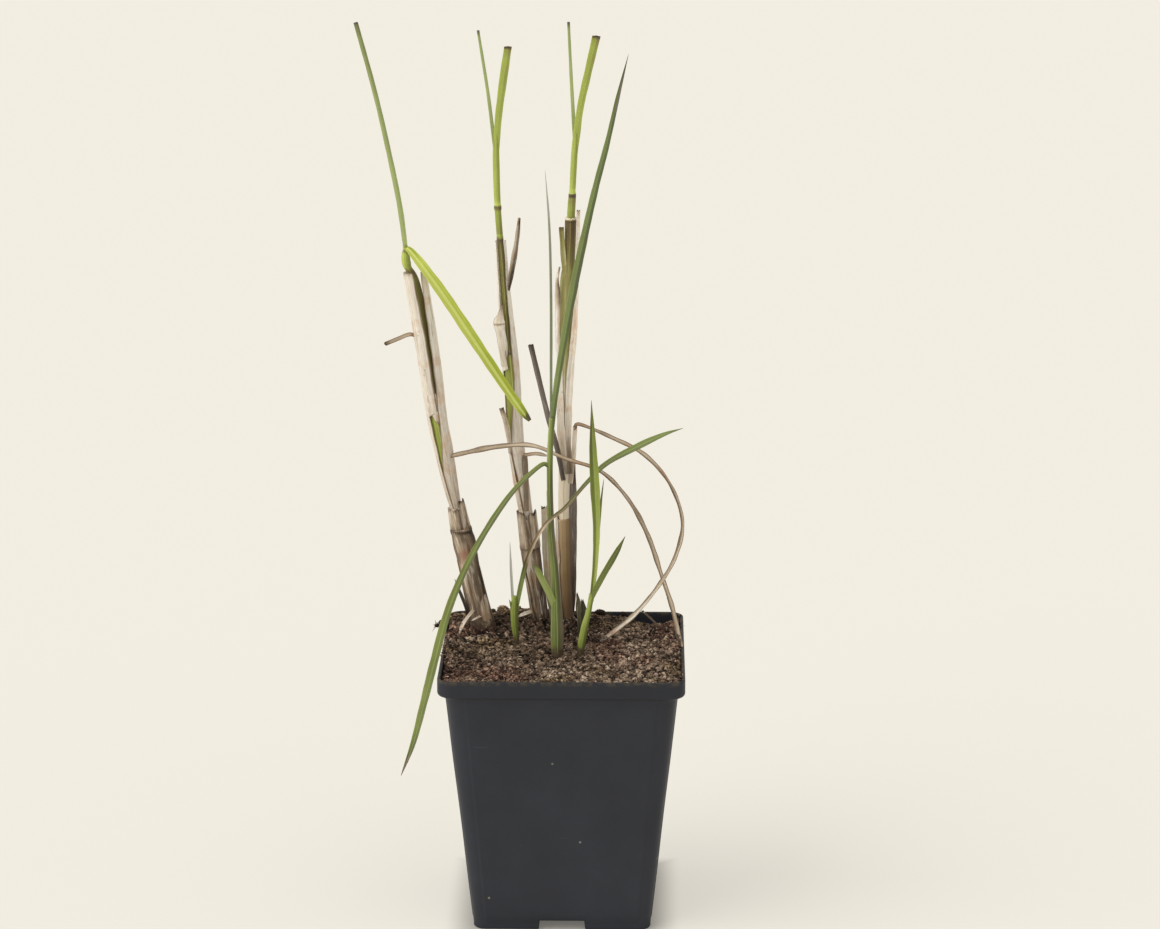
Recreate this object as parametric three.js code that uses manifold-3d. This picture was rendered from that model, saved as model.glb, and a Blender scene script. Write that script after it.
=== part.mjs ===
// A potted gracillimus maiden grass: a square nursery pot of moist peat, three old canes whose dry sheaths
// still wrap a green culm each, and three young green shoots between them.
// Millimetres, +Z up. The pot stands on z = 0 about the Z axis with its front towards -Y.
import * as THREE from "three";
import { mergeVertices } from "three/addons/utils/BufferGeometryUtils.js";
import Module from "manifold-3d";

const wasm = await Module();
wasm.setup();

const GAP = 0.3; // clear space between neighbours that touch on the real plant
const PAST = 5; // how far a cutting shape runs past what it cuts

// Driving dimensions of the pot
const POT = {
  height: 100,
  rimHalf: 45,
  rimHeight: 6.8,
  bodyHalfTop: 42.6,
  bodyHalfFoot: 32.9,
  wall: 1.2,
  cornerRim: 5.5,
  cornerTop: 7,
  cornerFoot: 4.5,
  edge: 0.5,
  floorLift: 4,
  floorThickness: 1.4,
  notchWidth: 17,
  notchHeight: 3.6,
  gatePadRadius: 6,
  drainRadius: 3.5,
  drainReach: 21,
};

// Driving dimensions of the soil: heaps are [x, y, height, radius], and a negative height is a hollow
const SOIL = {
  level: 99,
  cell: 4.1,
  roughness: 0.55,
  heaps: [
    [-31, 22, 2.4, 10],
    [-10, 31, 4, 9],
    [3, 31, 3.5, 8],
    [38, 37, -4, 13],
    [0, -42, 0.8, 20],
  ],
  crumbs: 36,
  crumbRadius: [1.2, 2.5],
  seed: 11,
};
// Crumbs caught on the left rim, as [x, y, z, radius]
const RIM_CRUMBS = [
  [-41.4, 21, 101.4, 2.1],
  [-44, 20.6, 102.7, 1.9],
  [-46.2, 21.4, 102.8, 1.7],
];

const SHEET = 0.6; // thickness of sheaths and blades
const RIDGE = { dry: 0.35, green: 0.2, halfLength: 1.2 }; // the ring that stands out at a node of a stem
const CUT = { foldedBlade: 1.6, wideBlade: 0.6, tubeNotch: 1.6 }; // depth of cuts across blades and a sheath

// Routes hold points of [x, y, z, size]. The size is a radius on a stem or sheath and a width on a blade.
// An arc says how a sheath stands round its line: [t, from, to] in degrees, 0 facing front and 90 right.
// buried is the share of the stem's route that the soil has a hole for.

const CANE_LEFT = {
  stem: [
    [-28, 21, 90, 4.8],
    [-31, 21.5, 101, 4.6],
    [-35, 22, 120, 3.9],
    [-37.5, 22, 133, 4],
    [-39.2, 22, 140, 3.6],
    [-40.7, 22, 147.5, 2.9],
  ],
  buried: 0.4,
  nodeHeight: 138.5,
  sheath: [
    [-40.4, 22, 145, 2],
    [-43, 21.5, 157, 2.7],
    [-45, 21, 169, 3.4],
    [-47.5, 20.5, 182, 3.5],
    [-49.6, 20, 199, 3.7],
    [-52, 19.2, 216, 3.7],
    [-55.3, 18, 238.5, 4.1],
  ],
  sheathLeftArc: [
    [0, -178, -75],
    [0.34, -178, -62],
    [0.48, -176, -58],
    [0.52, -175, 8],
    [0.64, -172, 6],
    [0.84, -160, -10],
    [1, -130, -22],
  ],
  sheathRightArc: [
    [0, -80, 178],
    [0.17, -38, 178],
    [0.34, -15, 176],
    [0.5, 12, 176],
    [0.64, 14, 172],
    [0.84, 22, 150],
    [0.97, 28, 82],
    [1, 50, 75],
  ],
  collarLeft: [
    [-39.2, 22, 139.5, 3.9],
    [-40.6, 22, 147.4, 3.3],
  ],
  collarLeftArc: [
    [0, -150, 20],
    [1, -140, 20],
  ],
  collarRight: [
    [-39.2, 22, 139.5, 3.9],
    [-40.9, 22, 150, 3.1],
  ],
  collarRightArc: [
    [0, 10, 160],
    [1, 25, 120],
  ],
  culm: [
    [-40.9, 22, 148.2, 0.9],
    [-45, 21, 169, 1.5],
    [-47.5, 20.5, 182, 1.5],
    [-51.2, 19.4, 210, 1.5],
    [-55.2, 18.5, 233, 1.4],
    [-58, 18, 242, 1.3],
    [-58.4, 18, 248, 1],
  ],
  nodeRing: 243,
  longBlade: [
    [-58.1, 18, 245.5, 1.5],
    [-60.5, 17, 265, 1.7],
    [-65.5, 16, 291, 1.7],
    [-69.5, 15, 309, 1.7],
    [-75, 13, 330.5, 1.4],
  ],
  foldedBlade: [
    [-58.2, 17.8, 245, 1.2],
    [-56, 16.5, 247.5, 1.9],
    [-51.5, 13.3, 240.6, 3.5],
    [-44.5, 12.4, 230, 4.1],
    [-33, 11.2, 212.7, 4.1],
    [-21.5, 10, 195, 4.4],
    [-15.6, 9.3, 186.8, 4.5],
  ],
  stub: [
    [-55.3, 18.6, 213.6, 1.5],
    [-57.5, 17.2, 214.6, 1.8],
    [-61.5, 15.5, 213.5, 1.8],
    [-66, 13.5, 212, 1.7],
  ],
  strand: [
    [-42.8, 20.2, 167.2, 1.6],
    [-39.5, 17, 169, 1.8],
    [-25, 13, 173, 1.8],
    [-11.5, 9, 174.5, 1.7],
    [1, 5, 170.5, 1.6],
    [13.5, 5, 166, 1.6],
    [23.5, 6, 155.5, 1.8],
    [31, 6.5, 141.5, 1.8],
    [36.5, 6, 125.5, 1.8],
    [40.5, 4.5, 113.5, 1.6],
    [42.8, 2.5, 103, 1.4],
  ],
  bract: [
    [-36, 19.5, 106, 1.8],
    [-39.3, 17.5, 115.5, 1.2],
    [-41.3, 16.5, 121, 0.7],
  ],
  huskLong: [
    [-34, 18.6, 108.5, 1.6],
    [-37.8, 12.5, 104.8, 1.7],
    [-39.5, 7.5, 101.2, 0.9],
  ],
  huskShort: [
    [-31, 17.8, 106.3, 1.4],
    [-35, 13.8, 105.3, 0.8],
  ],
};

const CANE_MIDDLE = {
  stem: [
    [-8, 28, 90, 3.7],
    [-9.3, 28, 101, 3.7],
    [-11, 27.2, 116, 3.6],
    [-13, 26, 131, 3.6],
    [-14.3, 25.2, 142.5, 3.2],
  ],
  buried: 0.5,
  nodeHeight: 131,
  sheath: [
    [-14, 25.3, 140, 2.3],
    [-16.5, 24, 157, 2.9],
    [-18.4, 23.3, 175, 3.1],
    [-19.6, 23, 194, 3.1],
    [-20.6, 23, 207, 2.9],
    [-22.3, 23.5, 229, 2.3],
    [-23.7, 24, 249, 2.1],
  ],
  sheathLeftArc: [
    [0, -178, -40],
    [0.34, -178, -36],
    [0.5, -176, -43],
    [0.67, -172, -43],
    [0.85, -150, -70],
    [0.95, -110, -85],
  ],
  sheathRightArc: [
    [0, -45, 178],
    [0.34, 0, 178],
    [0.5, 10, 176],
    [0.67, 20, 172],
    [0.85, 35, 140],
    [1, 50, 80],
  ],
  collarLeft: [
    [-13, 26, 131, 3.9],
    [-14.8, 25.2, 145.5, 3.5],
  ],
  collarLeftArc: [
    [0, -150, 5],
    [1, -150, -5],
  ],
  collarRight: [
    [-13, 26, 131, 3.9],
    [-14.6, 25.2, 145, 3.9],
  ],
  collarRightArc: [
    [0, 10, 150],
    [1, 15, 110],
  ],
  culm: [
    [-14.5, 25, 143.2, 1.2],
    [-16.5, 24, 157, 1.5],
    [-18.4, 23.3, 175, 1.7],
    [-19.6, 23, 194, 2.1],
    [-20.6, 23, 207, 1.7],
    [-23, 23.8, 240, 1.1],
    [-24.5, 24, 261, 1.2],
    [-25, 24, 278, 1.3],
    [-25, 24, 289, 1.3],
  ],
  nodeRing: 261,
  flap: [
    [-22.2, 21.1, 195.5, 1.5],
    [-22.6, 19.2, 207, 3.5],
    [-23.9, 18.5, 217, 4],
    [-24.1, 18.8, 225, 1.2],
  ],
  stub: [
    [-20, 21.6, 168.5, 1.6],
    [-21.4, 19, 179.5, 2],
    [-23.3, 18, 186.5, 1.9],
  ],
  brownBlade: [
    [-20.6, 21.9, 230.5, 1.2],
    [-19.4, 21.5, 238, 2.2],
    [-17.4, 20.7, 250, 1.8],
    [-16.5, 20, 258, 1],
  ],
  fold: [
    [-14.2, 22, 146, 1.8],
    [-14.3, 21, 158, 2.6],
    [-14.7, 20.8, 168, 2.2],
  ],
  shortBlade: [
    [-15.3, 21, 167.8, 1.8],
    [-10.5, 18, 169.2, 1.7],
    [-6, 15.5, 169, 1.4],
  ],
  husk: [
    [-11.5, 26.3, 105.6, 1.2],
    [-15, 24.8, 105, 1.5],
    [-18, 23.4, 104, 0.9],
  ],
  thinBlade: [
    [-25.6, 24, 286.5, 1.3],
    [-28, 25, 304, 1.2],
    [-31.5, 27, 325, 1],
  ],
  wideBlade: [
    [-25, 23.8, 284.5, 2.4],
    [-24, 23, 295.5, 2.5],
    [-22.2, 22.4, 309, 2.9],
    [-20.4, 22, 321, 2.9],
  ],
};

const CANE_RIGHT = {
  stem: [
    [1.2, 29, 90, 2.9],
    [0.6, 29, 102, 2.9],
    [0, 27.2, 114, 2.8],
    [-0.5, 25.2, 130, 2.8],
    [-0.6, 23.8, 143, 2.7],
  ],
  buried: 0.5,
  nodeHeight: 128,
  tube: [
    [-0.5, 24.2, 139, 2.1],
    [0, 22.2, 165, 2.2],
    [0.2, 21, 185, 2.3],
    [1.2, 20, 204, 2.3],
    [1.9, 20, 240, 2],
    [2.4, 20, 258.5, 2.1],
  ],
  tubeArc: [
    [0, -172, 172],
    [1, -172, 172],
  ],
  culm: [
    [-0.5, 23.9, 144.2, 1],
    [0, 22.2, 165, 1.1],
    [0.2, 21, 185, 1.1],
    [1.2, 20, 204, 1.1],
    [1.9, 20, 240, 1],
    [2.5, 20, 262, 1.2],
    [3.6, 20, 282, 1.25],
    [4.1, 20, 292, 1.1],
  ],
  nodeRing: 266.5,
  stripRight: [
    [2, 20.4, 161, 2],
    [1.5, 19.5, 174.5, 2.1],
    [1.6, 18.5, 188, 3.1],
    [2.5, 17.7, 201, 3.3],
    [4.1, 17.2, 219, 2.4],
    [5.1, 17.1, 240, 2.2],
    [5.5, 17, 261.5, 1.8],
  ],
  stripLeftLow: [
    [0, 20.4, 161, 2.2],
    [-0.6, 19.2, 171, 2.7],
    [-1.3, 18.3, 181, 3.1],
    [-1, 18, 193, 1.9],
    [-0.5, 18, 203.5, 1.2],
  ],
  stripLeftHigh: [
    [-0.8, 18.6, 202, 1.4],
    [-2.3, 17.8, 213, 2.2],
    [-2.5, 17.3, 226, 2.9],
    [-2.3, 17, 238, 1.7],
  ],
  stub: [
    [0.3, 18.5, 238, 1.6],
    [-0.5, 18.2, 248, 1.8],
    [-1, 17.8, 255, 1.8],
  ],
  greyStub: [
    [-0.4, 20.3, 158.5, 1.7],
    [-2.5, 15.8, 171.5, 2],
    [-5.8, 13.8, 185, 2],
    [-12, 12, 212, 2],
  ],
  stripNarrow: [
    [2.3, 21.4, 157, 1.6],
    [3.4, 20.2, 168, 1.7],
    [4, 19.4, 179.5, 1.7],
  ],
  darkSheath: [
    [2.5, 28.2, 104.6, 2],
    [2.8, 27.2, 112, 2.6],
    [3, 25, 130, 3],
    [3.2, 23.2, 148, 3],
    [3, 22.4, 162, 2],
  ],
  strand: [
    [3.7, 19.7, 178.5, 1.5],
    [6, 17.8, 180.5, 1.7],
    [18, 15.5, 176, 1.8],
    [30, 11.5, 170.5, 1.8],
    [39.3, 7.5, 160.5, 1.8],
    [44, 3.7, 147.5, 1.8],
    [41.8, 1.8, 135, 1.8],
    [36, 1.5, 124, 1.8],
    [27, 2.7, 112, 1.7],
    [15, 4.5, 101.1, 1.4],
  ],
  thinBlade: [
    [3.9, 20.2, 289.5, 1.3],
    [2.6, 21, 309.5, 1.2],
    [1.6, 22, 330, 1],
  ],
  wideBlade: [
    [4.1, 20, 287, 2.4],
    [6, 19.5, 299.5, 2.5],
    [8.6, 18.8, 311.5, 2.8],
    [11.8, 18, 325.5, 2.9],
  ],
};

const SHOOT_MIDDLE = {
  stem: [
    [-2, -9.8, 88, 1.2],
    [-2, -9.5, 100, 1.3],
    [-2, -8.8, 107, 2],
    [-2.2, -7.4, 116.5, 1.7],
    [-3.1, -5.3, 131, 1.2],
    [-4.5, -3.8, 148, 1.1],
    [-5, -2.6, 170, 1.1],
    [-4.2, -2, 188, 1],
  ],
  buried: 0.28,
  wideBlade: [
    [-4.6, -2.1, 181, 2],
    [-2, -1.5, 202.5, 2.3],
    [2, -1, 226.5, 2.9],
    [6.5, -1, 249.5, 2.9],
    [11.5, -0.8, 272, 2.7],
    [16, 0, 289.5, 2.3],
    [20, 1.4, 307, 1.7],
    [23.5, 3, 321, 0.7],
  ],
  thinBlade: [
    [-4.5, -2.4, 181, 1.2],
    [-4.5, -1.8, 205, 1.7],
    [-4.5, -0.4, 232, 1.6],
    [-5, 0.5, 257, 1.3],
    [-6.5, 1, 279.5, 0.7],
  ],
  archBlade: [
    [-5, -2.9, 170, 1.8],
    [-8.5, -4.6, 170.3, 2],
    [-18.5, -7.5, 161, 2.2],
    [-28.5, -10, 146.5, 2.5],
    [-36.5, -10.6, 131, 2.7],
    [-43, -9.6, 115, 3.2],
    [-47.9, -10, 97.5, 3.4],
    [-51.8, -12.5, 81, 2.9],
    [-55.5, -15.5, 66.5, 2.2],
    [-60, -19, 55, 1.1],
  ],
  sideBlade: [
    [-2.9, -7.8, 116, 1.8],
    [-4.6, -8.5, 122, 2.3],
    [-8.5, -9.5, 130, 2.1],
    [-10.8, -10.2, 135.5, 0.9],
  ],
  husk: [
    [-2.4, -6.2, 96, 1.6],
    [-2.6, -5.6, 105, 2],
    [-3.4, -4.8, 114, 2.2],
    [-5.2, -3.8, 124, 2.4],
    [-6.1, -2.8, 136, 2.6],
    [-6.8, -1.9, 154, 2.4],
  ],
};

const SHOOT_LEFT = {
  stem: [
    [-17, 4, 90, 0.7],
    [-17.5, 4, 100, 0.8],
    [-18.2, 4, 107, 1.2],
    [-18.3, 4, 114, 1.4],
    [-18, 3.8, 118, 0.9],
  ],
  buried: 0.5,
  needle: [
    [-18.7, 4.4, 112, 1.2],
    [-19.5, 5, 125.5, 1.2],
    [-20, 6, 138.5, 0.7],
  ],
  lobe: [
    [-18.8, 3.7, 111.5, 1.2],
    [-20.2, 3, 117, 0.7],
  ],
  blade: [
    [-17.8, 3.7, 112.5, 1.8],
    [-15.6, 2.6, 124, 1.9],
    [-12.5, 0, 136, 1.5],
    [-6.5, -6.3, 148.5, 1.4],
    [1, -9.4, 156, 1.4],
    [8.5, -9.3, 165, 1.5],
    [16, -8.9, 172.5, 2],
    [28, -9, 179.3, 2.4],
    [37, -9, 183.6, 1.9],
    [44, -9, 186, 0.8],
  ],
};

const SHOOT_RIGHT = {
  stem: [
    [6, -8.5, 90, 0.9],
    [6.6, -8.6, 100.5, 1],
    [8, -9, 109.5, 1.6],
    [9.5, -9, 116, 1.3],
    [10.6, -9, 123, 0.9],
  ],
  buried: 0.5,
  wideBlade: [
    [10.4, -9, 119.5, 1.6],
    [11.8, -9.8, 133, 2],
    [12.4, -11, 148, 2.6],
    [11.9, -12.4, 163.5, 3.4],
    [11.2, -13.1, 177, 2.8],
    [10.5, -13.5, 197.5, 0.7],
  ],
  thinBlade: [
    [10.8, -8.7, 120, 1],
    [12.4, -8.2, 140, 1.2],
    [13.7, -8, 155, 1.1],
    [15, -7.8, 166.5, 0.7],
  ],
  sideBlade: [
    [10.2, -9.2, 120.5, 1.8],
    [14.2, -11, 129.5, 2.2],
    [19, -12.3, 138.5, 2.1],
    [23, -14, 146.5, 0.8],
  ],
  husk: [
    [5.8, -6, 96, 1.6],
    [6.3, -5.9, 105, 2.2],
    [6.1, -5.6, 113, 2.3],
    [5.4, -5.2, 120.5, 0.9],
  ],
};

const COLOURS = {
  pot: 0x3a3b3f,
  soil: 0x5f4c3c,
  dryStraw: 0xc4b094,
  culmGreen: 0x8fa34a,
  leafGreen: 0x66803a,
  leafPale: 0x87994f,
  huskGrey: 0x9c927c,
};

// Solids

function solidOf(positions, triangles) {
  const mesh = new wasm.Mesh({
    numProp: 3,
    vertProperties: new Float32Array(positions),
    triVerts: new Uint32Array(triangles),
  });
  return new wasm.Manifold(mesh);
}

// A closed three.js geometry, set at a place, as a solid
function placed(geometry, x, y, z) {
  geometry.translate(x, y, z);
  geometry.deleteAttribute("normal");
  geometry.deleteAttribute("uv");
  const merged = mergeVertices(geometry, 1e-4);
  return solidOf(merged.attributes.position.array, merged.index.array);
}

function joined(solids) {
  return solids.reduce((whole, next) => whole.add(next));
}

// Pieces that grow together as one body, with any hollow that the join seals filled
function grown(solids) {
  const bodies = joined(solids).decompose().filter((body) => body.volume() > 0);
  if (bodies.length !== 1) {
    const corners = bodies.map((body) => body.boundingBox().min.map(Math.round));
    throw new Error(`loose pieces, with low corners at ${JSON.stringify(corners)}`);
  }
  return bodies[0];
}

// The largest body of a solid, without the scraps that a cut leaves loose
function largestOf(solid) {
  return solid.decompose().reduce((most, body) => (body.volume() > most.volume() ? body : most));
}

function meshOf(name, solid, colour, roughness) {
  const { vertProperties, triVerts } = solid.getMesh();
  const geometry = new THREE.BufferGeometry();
  geometry.setAttribute("position", new THREE.BufferAttribute(vertProperties, 3));
  geometry.setIndex(new THREE.BufferAttribute(triVerts, 1));
  const material = new THREE.MeshStandardMaterial({ color: colour, roughness, metalness: 0 });
  const mesh = new THREE.Mesh(geometry, material);
  mesh.name = name;
  return mesh;
}

// A skin through rings of equally many points, counter-clockwise seen from the last ring, closed by end fans
function loft(rings) {
  const sides = rings[0].length;
  const last = rings.length - 1;
  const centres = [rings[0], rings[last]].map((ring) =>
    ring.reduce((sum, p) => sum.add(p), new THREE.Vector3()).divideScalar(sides),
  );
  const points = [...rings.flat(), ...centres];
  const triangles = [];
  for (let i = 0; i < last; i++) {
    for (let j = 0; j < sides; j++) {
      const a = i * sides + j;
      const b = i * sides + ((j + 1) % sides);
      triangles.push(a, b, b + sides, a, b + sides, a + sides);
    }
  }
  for (let j = 0; j < sides; j++) {
    const next = (j + 1) % sides;
    triangles.push(rings.length * sides, next, j);
    triangles.push(rings.length * sides + 1, last * sides + j, last * sides + next);
  }
  return solidOf(points.flatMap((p) => [p.x, p.y, p.z]), triangles);
}

// Lines and the frames along them

function lineThrough(route) {
  const points = route.map(([x, y, z]) => new THREE.Vector3(x, y, z));
  const path = new THREE.CatmullRomCurve3(points, false, "catmullrom", 0.5);
  const sizes = new THREE.SplineCurve(route.map((point) => new THREE.Vector2(point[3], 0)));
  return {
    frame(t, facing) {
      const along = path.getTangent(t);
      const side = new THREE.Vector3().crossVectors(along, facing).normalize();
      const out = new THREE.Vector3().crossVectors(side, along);
      return { at: path.getPoint(t), along, side, out, size: sizes.getPoint(t).x };
    },
  };
}

// The two angles of an arc at t, read between its marks and held past the last one
function anglesAt(arc, t) {
  const last = arc.length - 1;
  const next = t >= arc[last][0] ? last : Math.max(1, arc.findIndex((mark) => mark[0] >= t));
  const [before, after] = [arc[next - 1], arc[next]];
  const share = Math.min(1, (t - before[0]) / (after[0] - before[0]));
  return [1, 2].map((k) => THREE.MathUtils.degToRad(THREE.MathUtils.lerp(before[k], after[k], share)));
}

const FRONT = new THREE.Vector3(0, -1, 0);

// A round stem, with a ridge at its node. grow widens it all round, to cut the hole that a stem stands in, and
// until ends it early.
function stem(route, options = {}) {
  const { sides = 8, steps = 2 * route.length, grow = 0, until = 1, nodeHeight, swell = 0 } = options;
  const line = lineThrough(route);
  const rings = [];
  for (let i = 0; i <= Math.ceil(until * steps); i++) {
    const { at, along, side, out, size } = line.frame(i / steps, FRONT);
    const ridge = swell && swell * Math.exp(-(((at.z - nodeHeight) / RIDGE.halfLength) ** 2));
    const radius = size + grow + ridge;
    if (i === 0) at.addScaledVector(along, -grow);
    rings.push(
      Array.from({ length: sides }, (_, j) => {
        const angle = (2 * Math.PI * j) / sides;
        return at
          .clone()
          .addScaledVector(side, radius * Math.cos(angle))
          .addScaledVector(out, -radius * Math.sin(angle));
      }),
    );
  }
  return loft(rings);
}

// A thin sheet along a line. midline gives its cross-section at t as points of [side, out], and crown moves
// the points of its last row along the line, u running from -1 to 1 across the sheet.
function sheet(route, { midline, facing = FRONT, steps, crown = () => 0, grow = 0 }) {
  const line = lineThrough(route);
  const positions = [];
  let columns = 0;
  for (let i = 0; i <= steps; i++) {
    const t = i / steps;
    const { at, along, side, out, size } = line.frame(t, facing);
    const section = midline(t, size);
    columns = section.length;
    section.forEach(([a, b], j) => {
      const [a0, b0] = section[Math.max(0, j - 1)];
      const [a1, b1] = section[Math.min(columns - 1, j + 1)];
      const length = Math.hypot(a1 - a0, b1 - b0);
      const normal = [-(b1 - b0) / length, (a1 - a0) / length];
      const ends = i === steps ? crown((2 * j) / (columns - 1) - 1) : 0;
      const shift = i === 0 ? -grow : ends;
      for (const half of [SHEET / 2 + grow, -SHEET / 2 - grow]) {
        const point = at
          .clone()
          .addScaledVector(side, a + half * normal[0])
          .addScaledVector(out, b + half * normal[1])
          .addScaledVector(along, shift);
        positions.push(point.x, point.y, point.z);
      }
    });
  }
  const triangles = [];
  const quad = (a, b, c, d) => triangles.push(a, b, c, a, c, d);
  const index = (i, j, face) => 2 * (i * columns + j) + face;
  for (let i = 0; i < steps; i++) {
    for (let j = 0; j < columns - 1; j++) {
      quad(index(i, j, 0), index(i, j + 1, 0), index(i + 1, j + 1, 0), index(i + 1, j, 0));
      triangles.push(index(i, j, 1), index(i + 1, j + 1, 1), index(i, j + 1, 1));
      triangles.push(index(i, j, 1), index(i + 1, j, 1), index(i + 1, j + 1, 1));
    }
    quad(index(i, 0, 1), index(i, 0, 0), index(i + 1, 0, 0), index(i + 1, 0, 1));
    const edge = columns - 1;
    quad(index(i, edge, 0), index(i, edge, 1), index(i + 1, edge, 1), index(i + 1, edge, 0));
  }
  for (let j = 0; j < columns - 1; j++) {
    quad(index(0, j, 0), index(0, j, 1), index(0, j + 1, 1), index(0, j + 1, 0));
    quad(index(steps, j, 0), index(steps, j + 1, 0), index(steps, j + 1, 1), index(steps, j, 1));
  }
  return solidOf(positions, triangles);
}

// A grass blade: a shallow V across, its edges standing towards the facing side
function blade(route, { fold = 0.45, facing = [0, -1, 0], steps = 2 * route.length, crown, grow = 0 } = {}) {
  const midline = (t, width) => [
    [-width / 2 - grow, (fold * width) / 4],
    [0, (-fold * width) / 4],
    [width / 2 + grow, (fold * width) / 4],
  ];
  return sheet(route, { midline, facing: new THREE.Vector3(...facing), steps, crown, grow });
}

// A sheath: part of a tube round its line, between the two angles of an arc. The size is its outer radius.
function sheath(route, arc, { steps = 2 * route.length, columns = 7, crown } = {}) {
  const midline = (t, radius) => {
    const [from, to] = anglesAt(arc, t);
    return Array.from({ length: columns }, (_, j) => {
      const angle = THREE.MathUtils.lerp(from, to, j / (columns - 1));
      return [(radius - SHEET / 2) * Math.sin(angle), (radius - SHEET / 2) * Math.cos(angle)];
    });
  };
  return sheet(route, { midline, steps, crown });
}

// The two ways in which the end of a sheet is cut, as crowns
const slanted = (depth) => (u) => -depth * u;
const notched = (depth) => (u) => -depth * Math.max(0, 1 - 4 * Math.abs(u));

// Pot and soil

// A square with round corners at a height, counter-clockwise seen from above
function roundedSquare(half, corner, z, sidesPerCorner = 5) {
  const ring = [];
  for (let quarter = 0; quarter < 4; quarter++) {
    const turn = (Math.PI / 2) * quarter;
    const centre = new THREE.Vector2(half - corner, half - corner).rotateAround(new THREE.Vector2(), turn);
    for (let k = 0; k <= sidesPerCorner; k++) {
      const angle = turn + (Math.PI / 2) * (k / sidesPerCorner);
      const [x, y] = [centre.x + corner * Math.cos(angle), centre.y + corner * Math.sin(angle)];
      ring.push(new THREE.Vector3(x, y, z));
    }
  }
  return ring;
}

// Half the width of the pot's tapered body at a height, and the radius of its corners there
function bodyAt(z) {
  const share = z / (POT.height - POT.rimHeight);
  return {
    half: THREE.MathUtils.lerp(POT.bodyHalfFoot, POT.bodyHalfTop, share),
    corner: THREE.MathUtils.lerp(POT.cornerFoot, POT.cornerTop, share),
  };
}

// The room inside the pot, drawn in by inset all round, up to a height above the rim
function potRoom(inset, top) {
  const rimFoot = POT.height - POT.rimHeight + POT.wall;
  const reach = POT.wall + inset;
  const ring = (z) => {
    const { half, corner } = bodyAt(z);
    return roundedSquare(half - reach, corner - POT.wall, z);
  };
  return loft([
    ring(POT.floorLift + POT.floorThickness + inset),
    ring(rimFoot + inset),
    roundedSquare(POT.rimHalf - reach, POT.cornerRim - POT.wall, rimFoot + inset + 0.2),
    roundedSquare(POT.rimHalf - reach, POT.cornerRim - POT.wall, top),
  ]);
}

function makePot() {
  const rimFoot = POT.height - POT.rimHeight;
  const { half, corner } = bodyAt(rimFoot);
  const outside = loft([
    roundedSquare(POT.bodyHalfFoot - POT.edge, POT.cornerFoot, 0),
    roundedSquare(POT.bodyHalfFoot, POT.cornerFoot, 2 * POT.edge),
    roundedSquare(half, corner, rimFoot),
    roundedSquare(POT.rimHalf - POT.edge / 2, POT.cornerRim, rimFoot + 0.1),
    roundedSquare(POT.rimHalf, POT.cornerRim, rimFoot + POT.edge),
    roundedSquare(POT.rimHalf, POT.cornerRim, POT.height - POT.edge),
    roundedSquare(POT.rimHalf - POT.edge / 2, POT.cornerRim, POT.height),
  ]);
  const foot = bodyAt(0);
  const under = loft([
    roundedSquare(foot.half - POT.wall - POT.edge, foot.corner - POT.wall, -PAST),
    roundedSquare(foot.half - POT.wall, foot.corner - POT.wall, POT.floorLift),
  ]);
  const across = 2 * POT.rimHalf;
  const notches = [
    placed(new THREE.BoxGeometry(POT.notchWidth, across, 2 * POT.notchHeight), 0, 0, 0),
    placed(new THREE.BoxGeometry(across, POT.notchWidth, 2 * POT.notchHeight), 0, 0, 0),
  ];
  const cylinder = (radius, height, x, y, z) => {
    const round = new THREE.CylinderGeometry(radius, radius, height, 20);
    return placed(round.rotateX(Math.PI / 2), x, y, z);
  };
  const drains = [-1, 0, 1].flatMap((i) =>
    [-1, 0, 1]
      .filter((j) => i || j)
      .map((j) => cylinder(POT.drainRadius, 2 * PAST, i * POT.drainReach, j * POT.drainReach, POT.floorLift)),
  );
  const padHeight = POT.floorLift + POT.floorThickness / 2;
  const gatePad = cylinder(POT.gatePadRadius, padHeight, 0, 0, padHeight / 2);
  return outside
    .subtract(potRoom(0, POT.height + PAST))
    .subtract(joined([under, ...notches]))
    .subtract(joined(drains))
    .add(gatePad);
}

// Equal draws from one seed, so that the soil comes out the same each time
function drawsFrom(seed) {
  let state = seed;
  return () => {
    state = (1664525 * state + 1013904223) % 4294967296;
    return state / 4294967296;
  };
}

// The soil's height at a place, heaps and hollows added as round bells
function soilHeight(x, y) {
  return SOIL.heaps.reduce(
    (z, [cx, cy, height, radius]) =>
      z + height * Math.exp(-((x - cx) ** 2 + (y - cy) ** 2) / (2 * radius ** 2)),
    SOIL.level,
  );
}

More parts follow.
